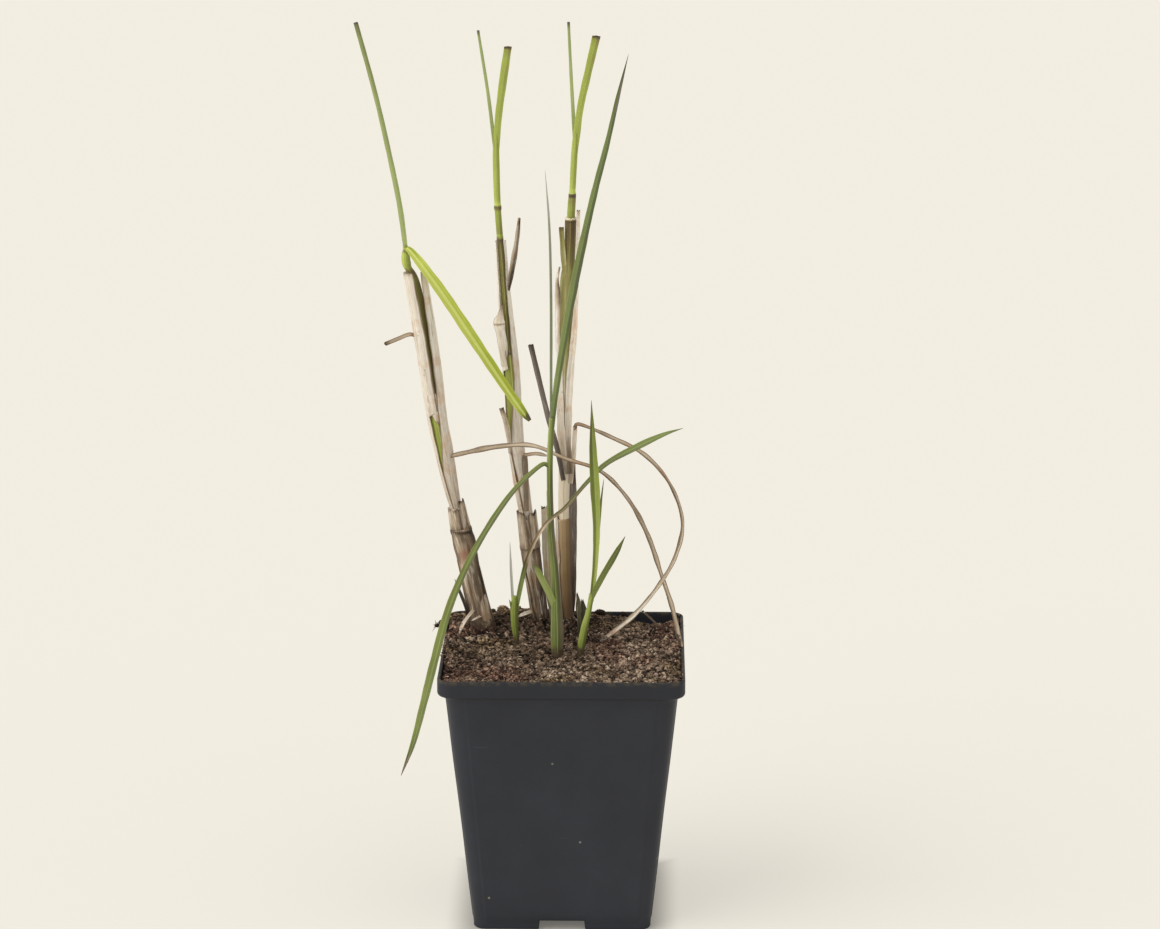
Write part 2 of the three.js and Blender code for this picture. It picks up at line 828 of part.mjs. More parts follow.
// A block with a flat underside and a rough top, wider than the pot's room
function roughBlock(draw) {
  const cells = Math.ceil((2 * POT.rimHalf) / SOIL.cell);
  const step = (2 * POT.rimHalf) / cells;
  const place = (k) => -POT.rimHalf + k * step;
  const positions = [];
  for (let j = 0; j <= cells; j++) {
    for (let i = 0; i <= cells; i++) {
      const x = place(i) + 0.5 * (draw() - 0.5) * step;
      const y = place(j) + 0.5 * (draw() - 0.5) * step;
      positions.push(x, y, soilHeight(x, y) + SOIL.roughness * (2 * draw() - 1));
    }
  }
  const top = (i, j) => j * (cells + 1) + i;
  const triangles = [];
  for (let j = 0; j < cells; j++) {
    for (let i = 0; i < cells; i++) {
      triangles.push(top(i, j), top(i + 1, j), top(i + 1, j + 1), top(i, j), top(i + 1, j + 1), top(i, j + 1));
    }
  }
  const edge = [];
  for (let k = 0; k < cells; k++) edge.push(top(k, 0));
  for (let k = 0; k < cells; k++) edge.push(top(cells, k));
  for (let k = cells; k > 0; k--) edge.push(top(k, cells));
  for (let k = cells; k > 0; k--) edge.push(top(0, k));
  const foot = positions.length / 3;
  edge.forEach((corner) => positions.push(positions[3 * corner], positions[3 * corner + 1], 0));
  positions.push(0, 0, 0);
  edge.forEach((corner, k) => {
    const next = (k + 1) % edge.length;
    triangles.push(corner, foot + k, foot + next, corner, foot + next, edge[next]);
    triangles.push(foot + edge.length, foot + next, foot + k);
  });
  return solidOf(positions, triangles);
}

// A lump of peat, turned at random and a little flattened
function crumb(x, y, z, radius, draw) {
  const lump = new THREE.IcosahedronGeometry(radius, 0);
  lump.rotateX(2 * Math.PI * draw()).rotateY(2 * Math.PI * draw());
  lump.scale(1, 0.8 + 0.4 * draw(), 0.75);
  return placed(lump, x, y, z);
}

// The soil fills the pot's room, with a hole or a slot for each plant piece that stands in it
function makeSoil(plants, husks) {
  const draw = drawsFrom(SOIL.seed);
  const inside = POT.rimHalf - POT.wall - GAP;
  const block = roughBlock(draw);
  const [smallest, largest] = SOIL.crumbRadius;
  const crumbs = Array.from({ length: SOIL.crumbs }, () => {
    const radius = THREE.MathUtils.lerp(smallest, largest, draw() ** 2);
    const reach = inside - 1.4 * radius;
    const x = (2 * draw() - 1) * reach;
    const y = (2 * draw() - 1) * reach;
    return crumb(x, y, soilHeight(x, y) + 0.25 * radius, radius, draw);
  });
  const rimCrumbs = RIM_CRUMBS.map(([x, y, z, radius]) => crumb(x, y, z, radius, draw));
  const holes = plants.map((plant) =>
    stem(plant.stem, { sides: sidesOf(plant), until: plant.buried, grow: GAP }),
  );
  const slots = husks.map((route) => blade(route, { grow: GAP }));
  const heaped = joined([block, ...crumbs]).intersect(potRoom(GAP, POT.height + 2 * PAST));
  return largestOf(joined([heaped, ...rimCrumbs]).subtract(joined([...holes, ...slots])));
}

// Canes and shoots

// A cane, which has a node, is rounder than a shoot
function sidesOf(plant) {
  return plant.nodeHeight ? 12 : 8;
}

function dryStem(cane) {
  return stem(cane.stem, { sides: sidesOf(cane), nodeHeight: cane.nodeHeight, swell: RIDGE.dry });
}

function greenCulm(cane) {
  return stem(cane.culm, { steps: 16, nodeHeight: cane.nodeRing, swell: RIDGE.green });
}

// The sheath that is torn into two long halves, and the collar that is left of an older one round its foot
function tornSheath(cane) {
  return joined([
    sheath(cane.collarLeft, cane.collarLeftArc, { steps: 2, columns: 5 }),
    sheath(cane.collarRight, cane.collarRightArc, { steps: 2, columns: 5 }),
    sheath(cane.sheath, cane.sheathLeftArc, { steps: 16, columns: 6 }),
    sheath(cane.sheath, cane.sheathRightArc, { steps: 16, columns: 6 }),
  ]);
}

function makeCaneLeftDry() {
  const cane = CANE_LEFT;
  return grown([
    dryStem(cane),
    tornSheath(cane),
    blade(cane.stub),
    blade(cane.strand, { fold: 0.8, facing: [0, -0.8, 0.6], steps: 26 }),
    blade(cane.bract, { steps: 4 }),
    blade(cane.huskLong, { facing: [0, -0.4, 0.9], steps: 5 }),
    blade(cane.huskShort, { facing: [0, -0.4, 0.9], steps: 2 }),
  ]);
}

function makeCaneLeftGreen() {
  const cane = CANE_LEFT;
  return grown([
    greenCulm(cane),
    blade(cane.longBlade, { fold: 0.7 }),
    blade(cane.foldedBlade, { fold: 0.6, facing: [0.25, -0.9, 0.3], crown: slanted(CUT.foldedBlade) }),
  ]);
}

function makeCaneMiddleDry() {
  const cane = CANE_MIDDLE;
  return grown([
    dryStem(cane),
    tornSheath(cane),
    blade(cane.flap, { fold: -0.5 }),
    blade(cane.stub),
    blade(cane.brownBlade),
    blade(cane.fold, { fold: -0.5, facing: [0.5, -0.85, 0] }),
    blade(cane.shortBlade, { facing: [0, -0.8, 0.6] }),
    blade(cane.husk, { facing: [0, -0.8, 0.6] }),
  ]);
}

function makeCaneMiddleGreen() {
  const cane = CANE_MIDDLE;
  return grown([
    greenCulm(cane),
    blade(cane.thinBlade),
    blade(cane.wideBlade, { crown: slanted(CUT.wideBlade) }),
  ]);
}

function makeCaneRightDry() {
  const cane = CANE_RIGHT;
  return grown([
    dryStem(cane),
    sheath(cane.tube, cane.tubeArc, { columns: 11, crown: notched(CUT.tubeNotch) }),
    blade(cane.stripRight),
    blade(cane.stripLeftLow),
    blade(cane.stripLeftHigh, { fold: -0.6 }),
    blade(cane.stub),
    blade(cane.greyStub, { fold: 0.7 }),
    blade(cane.stripNarrow),
    blade(cane.darkSheath, { fold: -0.5 }),
    blade(cane.strand, { fold: 0.8, facing: [0, -0.8, 0.6], steps: 26 }),
  ]);
}

function makeCaneRightGreen() {
  const cane = CANE_RIGHT;
  return grown([
    greenCulm(cane),
    blade(cane.thinBlade),
    blade(cane.wideBlade, { crown: slanted(CUT.wideBlade) }),
  ]);
}

function makeShootMiddle() {
  const shoot = SHOOT_MIDDLE;
  return grown([
    stem(shoot.stem),
    blade(shoot.wideBlade),
    blade(shoot.thinBlade, { facing: [0.8, -0.6, 0] }),
    blade(shoot.archBlade, { facing: [-0.3, -0.8, 0.5] }),
    blade(shoot.sideBlade),
  ]);
}

function makeShootLeft() {
  const shoot = SHOOT_LEFT;
  return grown([
    stem(shoot.stem),
    blade(shoot.needle),
    blade(shoot.lobe, { steps: 3 }),
    blade(shoot.blade, { facing: [0, -0.85, 0.5] }),
  ]);
}

function makeShootRight() {
  const shoot = SHOOT_RIGHT;
  return grown([stem(shoot.stem), blade(shoot.wideBlade), blade(shoot.thinBlade), blade(shoot.sideBlade)]);
}

const plants = [CANE_LEFT, CANE_MIDDLE, CANE_RIGHT, SHOOT_MIDDLE, SHOOT_LEFT, SHOOT_RIGHT];
const husks = [SHOOT_MIDDLE.husk, SHOOT_RIGHT.husk];

const group = new THREE.Group();
group.add(
  meshOf("pot", makePot(), COLOURS.pot, 0.55),
  meshOf("soil", makeSoil(plants, husks), COLOURS.soil, 0.95),
  meshOf("cane_left_dry", makeCaneLeftDry(), COLOURS.dryStraw, 0.7),
  meshOf("cane_left_green", makeCaneLeftGreen(), COLOURS.culmGreen, 0.5),
  meshOf("cane_middle_dry", makeCaneMiddleDry(), COLOURS.dryStraw, 0.7),
  meshOf("cane_middle_green", makeCaneMiddleGreen(), COLOURS.culmGreen, 0.5),
  meshOf("cane_right_dry", makeCaneRightDry(), COLOURS.dryStraw, 0.7),
  meshOf("cane_right_green", makeCaneRightGreen(), COLOURS.culmGreen, 0.5),
  meshOf("shoot_middle", makeShootMiddle(), COLOURS.leafGreen, 0.5),
  meshOf("shoot_middle_husk", blade(SHOOT_MIDDLE.husk), COLOURS.huskGrey, 0.7),
  meshOf("shoot_left", makeShootLeft(), COLOURS.leafPale, 0.5),
  meshOf("shoot_right", makeShootRight(), COLOURS.leafPale, 0.5),
  meshOf("shoot_right_husk", blade(SHOOT_RIGHT.husk), COLOURS.huskGrey, 0.7),
);

export default group;
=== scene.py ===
"""A potted gracillimus maiden grass, dressed on its frame.

A square nursery pot of moist peat holds three old canes, whose torn dry sheaths still wrap a green culm each,
and three young green shoots. Sizes in the sections are millimetres, turned into metres as a mesh is made.
"""
from math import pi, radians

import bpy
import numpy as np
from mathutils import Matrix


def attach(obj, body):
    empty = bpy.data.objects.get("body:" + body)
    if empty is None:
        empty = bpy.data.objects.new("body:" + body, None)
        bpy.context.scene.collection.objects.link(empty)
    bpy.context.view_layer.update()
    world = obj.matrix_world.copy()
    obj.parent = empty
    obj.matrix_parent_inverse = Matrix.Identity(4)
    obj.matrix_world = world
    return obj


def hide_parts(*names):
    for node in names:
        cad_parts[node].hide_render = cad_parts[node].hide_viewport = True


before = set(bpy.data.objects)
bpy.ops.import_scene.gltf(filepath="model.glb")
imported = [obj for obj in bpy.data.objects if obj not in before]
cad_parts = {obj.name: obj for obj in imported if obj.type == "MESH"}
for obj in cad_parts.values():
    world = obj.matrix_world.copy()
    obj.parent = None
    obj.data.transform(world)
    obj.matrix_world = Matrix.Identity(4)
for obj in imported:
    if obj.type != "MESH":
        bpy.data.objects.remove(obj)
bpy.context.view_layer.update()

# The camera
# It stands at the photograph's viewpoint, 1.3 m in front of the pot's axis and half a metre up, and looks
# down on the plant through a long lens.
camera = bpy.data.objects.new("camera", bpy.data.cameras.new("camera"))
camera.data.sensor_width = 36
camera.data.lens = 113.22
camera.location = (0.0285, -1.2997, 0.5051)
camera.rotation_euler = (radians(75.537), 0, radians(0.985))
bpy.context.scene.collection.objects.link(camera)
bpy.context.scene.camera = camera
bpy.context.scene.view_settings.view_transform = "Standard"

# The studio
# A wide pale floor, lit from below as well as from above so that shadows on it stay faint, but not under the
# pot. Over it lie an even sky, a large soft key light from the upper left and a weak fill from the right.


def linear(red, green, blue):
    """A colour seen as 0 to 255 on a screen, as the light values that a shader needs: (c + 0.055) / 1.055
    to the power 2.4, or c / 12.92 in the darkest tones."""
    seen = np.array([red, green, blue]) / 255
    light = np.where(seen > 0.04045, ((seen + 0.055) / 1.055) ** 2.4, seen / 12.92)
    return (*light.tolist(), 1)


def give(tree, made, inputs):
    """Gives each named or numbered input of a node a value, or a link from another node's output."""
    for key, value in inputs.items():
        if isinstance(value, bpy.types.NodeSocket):
            tree.links.new(value, made.inputs[key])
        else:
            made.inputs[key].default_value = value


def wire(tree, kind, inputs=None, **settings):
    """Adds a shader node, sets it, and gives it its inputs."""
    made = tree.nodes.new("ShaderNode" + kind)
    for key, value in settings.items():
        setattr(made, key, value)
    give(tree, made, inputs or {})
    return made


def material(name):
    """An empty material, its node tree and its surface shader."""
    made = bpy.data.materials.new(name)
    made.use_nodes = True
    return made, made.node_tree, made.node_tree.nodes["Principled BSDF"]


def math(tree, operation, a, b=0.0, c=0.0):
    return wire(tree, "Math", {0: a, 1: b, 2: c}, operation=operation).outputs[0]


def fade(tree, value, start, stop, to_min=0.0, to_max=1.0):
    """A smooth step of the value between start and stop."""
    inputs = {"Value": value, "From Min": start, "From Max": stop, "To Min": to_min, "To Max": to_max}
    return wire(tree, "MapRange", inputs, interpolation_type="SMOOTHSTEP").outputs[0]


def object_place(tree):
    return wire(tree, "TexCoord").outputs["Object"]


def split(tree, vector):
    return wire(tree, "SeparateXYZ", {"Vector": vector}).outputs


def from_axis(tree, place):
    """How far a place is from the pot's axis, square to its sides: the larger of |x| and |y|."""
    x, y, _ = (math(tree, "ABSOLUTE", part) for part in split(tree, place))
    return math(tree, "MAXIMUM", x, y)


FLOOR_METRES = 16
bpy.ops.mesh.primitive_plane_add(size=FLOOR_METRES)
floor = bpy.context.object
floor.name = "floor"
paper, tree, shader = material("studio_paper")
give(tree, shader, {
    "Base Color": linear(161, 158, 151), "Roughness": 1, "Specular IOR Level": 0,
    "Emission Color": linear(242, 237, 225),
    # The floor's glow fades out towards the pot's foot: a painted soft contact shadow round it, dark under
    # the pot.
    "Emission Strength": fade(tree, from_axis(tree, object_place(tree)), 0.031, 0.045, 0.15, 0.585),
})
floor.data.materials.append(paper)

sky = bpy.data.worlds.new("sky")
sky.use_nodes = True
give(sky.node_tree, sky.node_tree.nodes["Background"], {"Color": (1, 0.985, 0.95, 1), "Strength": 0.62})
bpy.context.scene.world = sky


def soft_light(name, strength, width, tilt, turn):
    """A distant light of an angular width in degrees, tilted down from overhead and turned about the pot."""
    lamp = bpy.data.objects.new(name, bpy.data.lights.new(name, "SUN"))
    lamp.data.energy = strength
    lamp.data.angle = radians(width)
    lamp.rotation_euler = (radians(tilt), 0, radians(turn))
    bpy.context.scene.collection.objects.link(lamp)


soft_light("key", 1.95, 60, 55, -65)
soft_light("fill", 0.45, 80, 60, 50)

# The pot
# A square growing pot, injection-moulded in near-black plastic with a dusty satin skin. Its walls taper to a
# foot with a notch in each side, its corners are set in a little, and a turned-out band stiffens the rim.
MM = 0.001
POT = {
    "height": 100, "rim_half": 45, "rim_height": 6.8, "top_half": 42.6, "foot_half": 32.9, "wall": 1.2,
    "rim_corner": 5.5, "top_corner": 7, "foot_corner": 4.5, "edge": 0.45, "band_edge": 1.6, "floor": 4,
    "notch_half": 8.5, "notch_height": 3.6, "pad_radius": 6, "drain_radius": 3.5, "drain_reach": 21,
    "crease": 0.35,
}
RIM_FOOT = POT["height"] - POT["rim_height"]
FLOOR_TOP = 5.4


def body(name, points, faces, finish, **attributes):
    """A smooth-shaded piece from points in millimetres and faces, with a vector on each point per
    attribute."""
    mesh = bpy.data.meshes.new(name)
    mesh.from_pydata(points * MM, [], faces)
    for key, values in attributes.items():
        mesh.attributes.new(key, "FLOAT_VECTOR", "POINT").data.foreach_set("vector", values.ravel())
    mesh.shade_smooth()
    mesh.materials.append(finish)
    piece = bpy.data.objects.new(name, mesh)
    bpy.context.scene.collection.objects.link(piece)
    return piece


def skin(name, rings, finish, **attributes):
    """A closed mesh through rings[row, column] of points, its quads facing out where the columns run
    counter-clockwise about the way that the rows run, with a fan on the first and last ring. Each attribute
    gives a vector to every point of the rings."""
    rows, columns = rings.shape[:2]

    def with_centres(values):
        return np.vstack([values.reshape(-1, 3), values[0].mean(axis=0), values[-1].mean(axis=0)])

    i, ring = np.meshgrid(np.arange(rows - 1), np.arange(columns), indexing="ij")
    here, beside = i * columns + ring, i * columns + (ring + 1) % columns
    faces = np.stack([here, beside, beside + columns, here + columns], axis=-1).reshape(-1, 4).tolist()
    ring, after = here[0], beside[0]
    first, last = np.full(columns, rows * columns), (rows - 1) * columns
    faces += np.stack([first, after, ring], axis=-1).tolist()
    faces += np.stack([first + 1, last + ring, last + after], axis=-1).tolist()
    marks = {key: with_centres(values) for key, values in attributes.items()}
    return body(name, with_centres(rings), faces, finish, **marks)


def fix(piece, slot, *nodes):
    """Fixes a piece to the one body and hides the frame's nodes that it stands for; slot, the name of its
    finish, is not used.
    """
    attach(piece, "root")
    if nodes:
        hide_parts(*nodes)


def square_disc(u, v, half, corner):
    """Points of a square with round corners for u and v from -1 to 1: the ray through (u, v) is cut off at
    the straight side, or where it meets the corner's arc, by the root of a quadratic."""
    reach = np.maximum(np.abs(u), np.abs(v))
    safe = np.where(reach > 0, reach, 1)
    x, y = np.abs(u) / safe, np.abs(v) / safe
    centre = half - corner
    a, b, c = x * x + y * y, centre * (x + y), 2 * centre * centre - corner * corner
    arc = (b + np.sqrt(np.maximum(b * b - a * c, 0))) / a.clip(1e-9)
    scale = np.where(np.minimum(x, y) * half > centre, arc, half)
    return u / safe * scale * reach, v / safe * scale * reach


def perimeter(shares):
    """u and v round the edge of the square from the shares along one side, counter-clockwise."""
    side = np.asarray(shares)[:-1]
    one = np.ones_like(side)
    return np.concatenate([one, -side, -one, side]), np.concatenate([side, one, -side, -one])


def body_half(z):
    """Half the body's width at a height, straight from the foot's to the top's."""
    return POT["foot_half"] + (POT["top_half"] - POT["foot_half"]) * z / RIM_FOOT


def body_corner(z):
    """The radius of the body's corners at a height, straight from the foot's to the top's."""
    return POT["foot_corner"] + (POT["top_corner"] - POT["foot_corner"]) * z / RIM_FOOT


def arc_rows(half, z, corner, radius, start, stop, steps=5):
    """Rows of a rounded edge: a quarter turn of the radius about (half, z), from one angle to the other."""
    angle = np.radians(np.linspace(start, stop, steps))
    return [(half + radius * np.cos(a), z + radius * np.sin(a), corner) for a in angle]


def pot_rows():
    """The pot's profile as [half, z, corner] from the middle of its underside, out under the foot, up the
    wall and the band, over the lip, and down inside to the middle of its floor."""
    edge, wall, band, height = POT["edge"], POT["wall"], POT["band_edge"], POT["height"]
    foot, rim, pad, base = POT["foot_half"], POT["rim_half"], POT["pad_radius"], POT["floor"]
    rows = [(r, z, r) for r, z in ((0.5, 0), (pad - 0.4, 0), (pad, 0.4), (pad, base - 0.4), (pad, base))]
    rows += [(share * (foot - wall), base, pad - 3 * share) for share in (0.4, 0.7, 0.97, 1)]
    rows += [(foot - wall, z, POT["foot_corner"] - wall) for z in (3.8, 2, 0.6)]
    rows += arc_rows(foot - wall + edge, edge, POT["foot_corner"] - wall, edge, 180, 270, 4)
    rows += arc_rows(foot - 0.8, 0.8, POT["foot_corner"], 0.8, 270, 360)
    rows += [(body_half(z) - 0.22, z, body_corner(z)) for z in (1.6, 3.2)]
    rows += [(body_half(z), z, body_corner(z)) for z in np.linspace(4, RIM_FOOT - 0.2, 40)]
    rows += [(body_half(RIM_FOOT) + 0.3, RIM_FOOT, POT["top_corner"])]
    rows += arc_rows(rim - band, RIM_FOOT + band, POT["rim_corner"], band, 275, 360)
    rows += [(rim, z, POT["rim_corner"]) for z in np.linspace(RIM_FOOT + band + 0.4, height - 1, 5)]
    rows += arc_rows(rim - edge, height - edge, POT["rim_corner"], edge, 0, 90)
    rows += arc_rows(rim - wall + edge, height - edge, POT["rim_corner"] - wall, edge, 90, 180)
    rows += [(rim - wall, z, POT["rim_corner"] - wall) for z in (99, 97, 95, RIM_FOOT + wall + 0.2)]
    inside = (RIM_FOOT + wall, 93, 60, 30, 5.6, FLOOR_TOP)
    rows += [(body_half(z) - wall, z, body_corner(z) - wall) for z in inside]
    rows += [(r, FLOOR_TOP, 3) for r in (27, 15, 4.5)]
    return np.array(rows)


def pot_rings():
    """The pot's rings: each row of the profile round the rounded square, the foot's low rows lifted where a
    notch crosses them, the corners set in behind a soft crease, and the walls bowed as they cool."""
    notch = POT["notch_half"] / POT["foot_half"]
    side = np.unique(np.concatenate([
        np.linspace(-1, -0.7, 28), np.linspace(-0.62, 0.62, 9), np.linspace(0.7, 1, 28),
        [-notch - 0.012, -notch, notch, notch + 0.012],
    ]))
    u, v = perimeter(side)
    half, z, corner = (column[:, None] for column in pot_rows().T)
    across = np.minimum(np.abs(u), np.abs(v))[None]
    outside = (half > body_half(z) - 0.3) & (z > POT["notch_height"]) & (z < RIM_FOOT)
    turned = np.clip((across - 1 + 1.05 * corner / half) / 0.024 + 0.5, 0, 1)
    x, y = square_disc(u[None], v[None], half - POT["crease"] * turned * outside, corner)
    foot = (np.abs(z) < POT["notch_height"]) & (half > POT["pad_radius"] + 1) & (across < notch + 0.001)
    z = np.where(foot, POT["notch_height"] + 0.02 * z, z + 0 * x)
    bow = 0.18 * np.sin(pi * z / 93) * np.cos(pi / 2 * across) * (half > 30) * (z < RIM_FOOT)
    wave = 1 - (bow + 0.05 * np.sin(z / 9 + 3 * u[None]) * (half > 30) * (z > 6) * (z < 90)) / 40
    return np.stack([x * wave, y * wave, z], axis=-1)


def noise(tree, place, scale, detail=2, roughness=0.5):
    """Noise from 0 to 1 at a place."""
    inputs = {"Vector": place, "Scale": scale, "Detail": detail, "Roughness": roughness}
    return wire(tree, "TexNoise", inputs).outputs["Fac"]


def nearest_speck(tree, place, scale):
    """How far a place is from the nearest of many scattered points."""
    return wire(tree, "TexVoronoi", {"Vector": place, "Scale": scale}).outputs["Distance"]


def ramp(tree, value, stops):
    """A colour ramp of [position, colour] stops, the colours as they are seen."""
    made = wire(tree, "ValToRGB", {"Fac": value})
    elements = made.color_ramp.elements
    while len(elements) < len(stops):
        elements.new(0.5)
    for element, (position, colour) in zip(elements, stops):
        element.position = position
        element.color = linear(*colour)
    return made.outputs["Color"]


def mix(tree, share, a, b, blend="MIX"):
    """Two colours mixed by a share, each another node's output or a colour as it is seen."""
    a, b = (linear(*colour) if isinstance(colour, tuple) else colour for colour in (a, b))
    return wire(tree, "Mix", {0: share, 6: a, 7: b}, data_type="RGBA", blend_type=blend).outputs[2]


def bump(tree, height, strength, depth):
    return wire(tree, "Bump", {"Height": height, "Strength": strength, "Distance": depth}).outputs[0]


def moulded_plastic():
    """Near-black polypropylene: a faint dusty bloom, a few thin scuffs and pale specks, the band at the rim
    painted darker, a line of peat dust along its lip, and a fine pebble from the mould."""
    finish, tree, shader = material("moulded_plastic")
    place = object_place(tree)
    bloom = noise(tree, place, 38, 6, 0.65)
    base = ramp(tree, bloom, [(0.3, (41, 43, 49)), (0.52, (45, 47, 53)), (0.75, (50, 52, 58))])
    scuffs = wire(tree, "Mapping", {"Vector": place, "Rotation": (0, 0.5, 0.3), "Scale": (60, 60, 1400)})
    scuff = noise(tree, scuffs.outputs[0], 1, 1)
    base = mix(tree, fade(tree, scuff, 0.78, 0.84, 0, 0.2), base, (96, 96, 96))
    dot = math(tree, "MULTIPLY", fade(tree, nearest_speck(tree, place, 210), 0.13, 0.06),
               fade(tree, noise(tree, place, 95, 0), 0.69, 0.73))
    base = mix(tree, math(tree, "MULTIPLY", dot, 0.6), base, (150, 144, 130))
    height = split(tree, place)["Z"]
    # The band at the rim, and all above it, painted darker than the wall.
    base = mix(tree, fade(tree, height, 0.092, 0.0935, 0, 0.3), base, (30, 31, 35))
    dust = math(tree, "MULTIPLY", fade(tree, height, 0.098, 0.0998),
                fade(tree, noise(tree, place, 420, 5, 0.7), 0.42, 0.6, 0, 0.6))
    pebble = math(tree, "MULTIPLY_ADD", dust, 4, noise(tree, place, 900, 3))
    give(tree, shader, {
        "Base Color": mix(tree, dust, base, (82, 72, 54)),
        "Roughness": fade(tree, bloom, 0.3, 0.75, 0.45, 0.6),
        "Specular IOR Level": 0.2, "Normal": bump(tree, pebble, 0.35, 0.00006),
    })
    return finish


plastic = moulded_plastic()
pot = skin("pot_shell", pot_rings(), plastic)


def drilled(piece, centres, radius, low, high):
    """The piece with round holes cut through it along Z, turned a little so that no corner of a hole lies on
    an edge of the piece."""
    angle = np.linspace(0, 2 * pi, 33)[:-1] + 0.05
    circle = np.stack([np.cos(angle), np.sin(angle)], axis=-1) * radius
    for number, (x, y) in enumerate(centres):
        ring = [np.column_stack([circle + (x, y), np.full(32, z)]) for z in (low, high)]
        drill = skin(f"drill_{number}", np.array(ring), plastic)
        cut = piece.modifiers.new("drain", "BOOLEAN")
        cut.object = drill
        cut.operation = "DIFFERENCE"
        bpy.context.view_layer.update()
        cut_mesh = bpy.data.meshes.new_from_object(piece.evaluated_get(bpy.context.evaluated_depsgraph_get()))
        piece.modifiers.clear()
        piece.data = cut_mesh
        bpy.data.objects.remove(drill)


reach = POT["drain_reach"]
drains = [(x, y) for x in (-reach, 0, reach) for y in (-reach, 0, reach) if x or y]
drilled(pot, drains, POT["drain_radius"], POT["floor"] - 1, FLOOR_TOP + 0.8)
fix(pot, "pot", "pot")

# The peat
# Moist crumbly peat fills the pot to its lip, heaped round the canes and sunk in the back right corner. It
# was poured in loose, so its top is all crumbs and fibres of a few sizes, with painted shade in the gaps
# between them.
HEAPS = [(-31, 22, 2.2, 10), (-21, 35, 2.6, 6), (-10, 31, 3.2, 8), (3, 31, 3.2, 8), (34, 41, -3.8, 6.5),
         (0, -42, 0.6, 20), (-44, -14, 1.2, 5), (-44, -5, 1.7, 5), (-44, 5, 1.6, 5), (-44, 15, 1.7, 5),
         (-44, 25, 1.8, 5), (-44, 35, 1.7, 5), (44, -12, 0.9, 8), (44, 12, 0.9, 8), (44, 33, 1.8, 5)]
DAMP = [(-22, 24, 1, 6), (-27, 15, 0.8, 4), (-10, -6, 0.9, 7), (4, 16, 1, 8), (-36, -12, 0.7, 5),
        (12, 38, 1, 7), (-42, 25, 0.9, 4), (30, 33, 0.8, 9), (-3, 24, 1, 7), (-34, -26, 0.4, 14),
        (6, -14, 0.5, 5)]
SOIL_LEVEL = 98.6
SOIL_FOOT = 5.8
SOIL_GAP = 0.3
CRUMB_TABLE = 96
LARGE_CRUMB, MIDDLE_CRUMB, SMALL_CRUMB = 2, 1, 0.56


def bells(marks, x, y):
    """The height of a round bell for each of [x, y, height, radius], added up."""
    return sum(h * np.exp(-((x - a) ** 2 + (y - b) ** 2) / (2 * r * r)) for a, b, h, r in marks)


def crumble(x, y, cell, seed):
    """Oblong crumbs, one to a cell, each somewhere in its cell and turned at random. The height at a point is
    the highest dome sqrt(1 - d^2) of the nine cells round it, and the tone is that crumb's own."""
    draws = np.random.default_rng(seed).random((CRUMB_TABLE, CRUMB_TABLE, 5))
    column, row = np.floor(x / cell).astype(int), np.floor(y / cell).astype(int)
    height, tone = np.full(x.shape, -1.0), np.zeros(x.shape)
    for i in (-1, 0, 1):
        for j in (-1, 0, 1):
            crumb = draws[(column + i) % CRUMB_TABLE, (row + j) % CRUMB_TABLE]
            a, b, size, own, turn = np.moveaxis(crumb, -1, 0)
            dx, dy = x - (column + i + a) * cell, y - (row + j + b) * cell
            c, s = np.cos(pi * turn), np.sin(pi * turn)
            long = cell * (0.55 + 0.5 * size)
            short = long * (0.45 + 0.35 * own)
            reach = ((dx * c + dy * s) / long) ** 2 + ((dy * c - dx * s) / short) ** 2
            dome = np.sqrt(np.maximum(1 - reach, 0)) * short * (0.7 + 0.6 * turn)
            tone = np.where(dome > height, own, tone)
            height = np.maximum(height, dome)
    return height, tone


def soil_surface(x, y):
    """The crumbly top as height and its marks of relief, tone and damp: three sizes of crumbs, each riding on
    the next larger."""
    large, large_tone = crumble(x, y, LARGE_CRUMB, 5)
    middle, middle_tone = crumble(x + 7, y + 3, MIDDLE_CRUMB, 6)
    small, small_tone = crumble(x + 2, y + 9, SMALL_CRUMB, 7)
    relief = 0.55 * large + 0.9 * middle + 0.9 * small
    tone = 0.25 * large_tone + 0.4 * middle_tone + 0.35 * small_tone
    damp = np.clip(bells(DAMP, x, y), 0, 1)
    return SOIL_LEVEL + bells(HEAPS, x, y) + relief - 0.5, np.stack([relief, tone, damp], axis=-1)


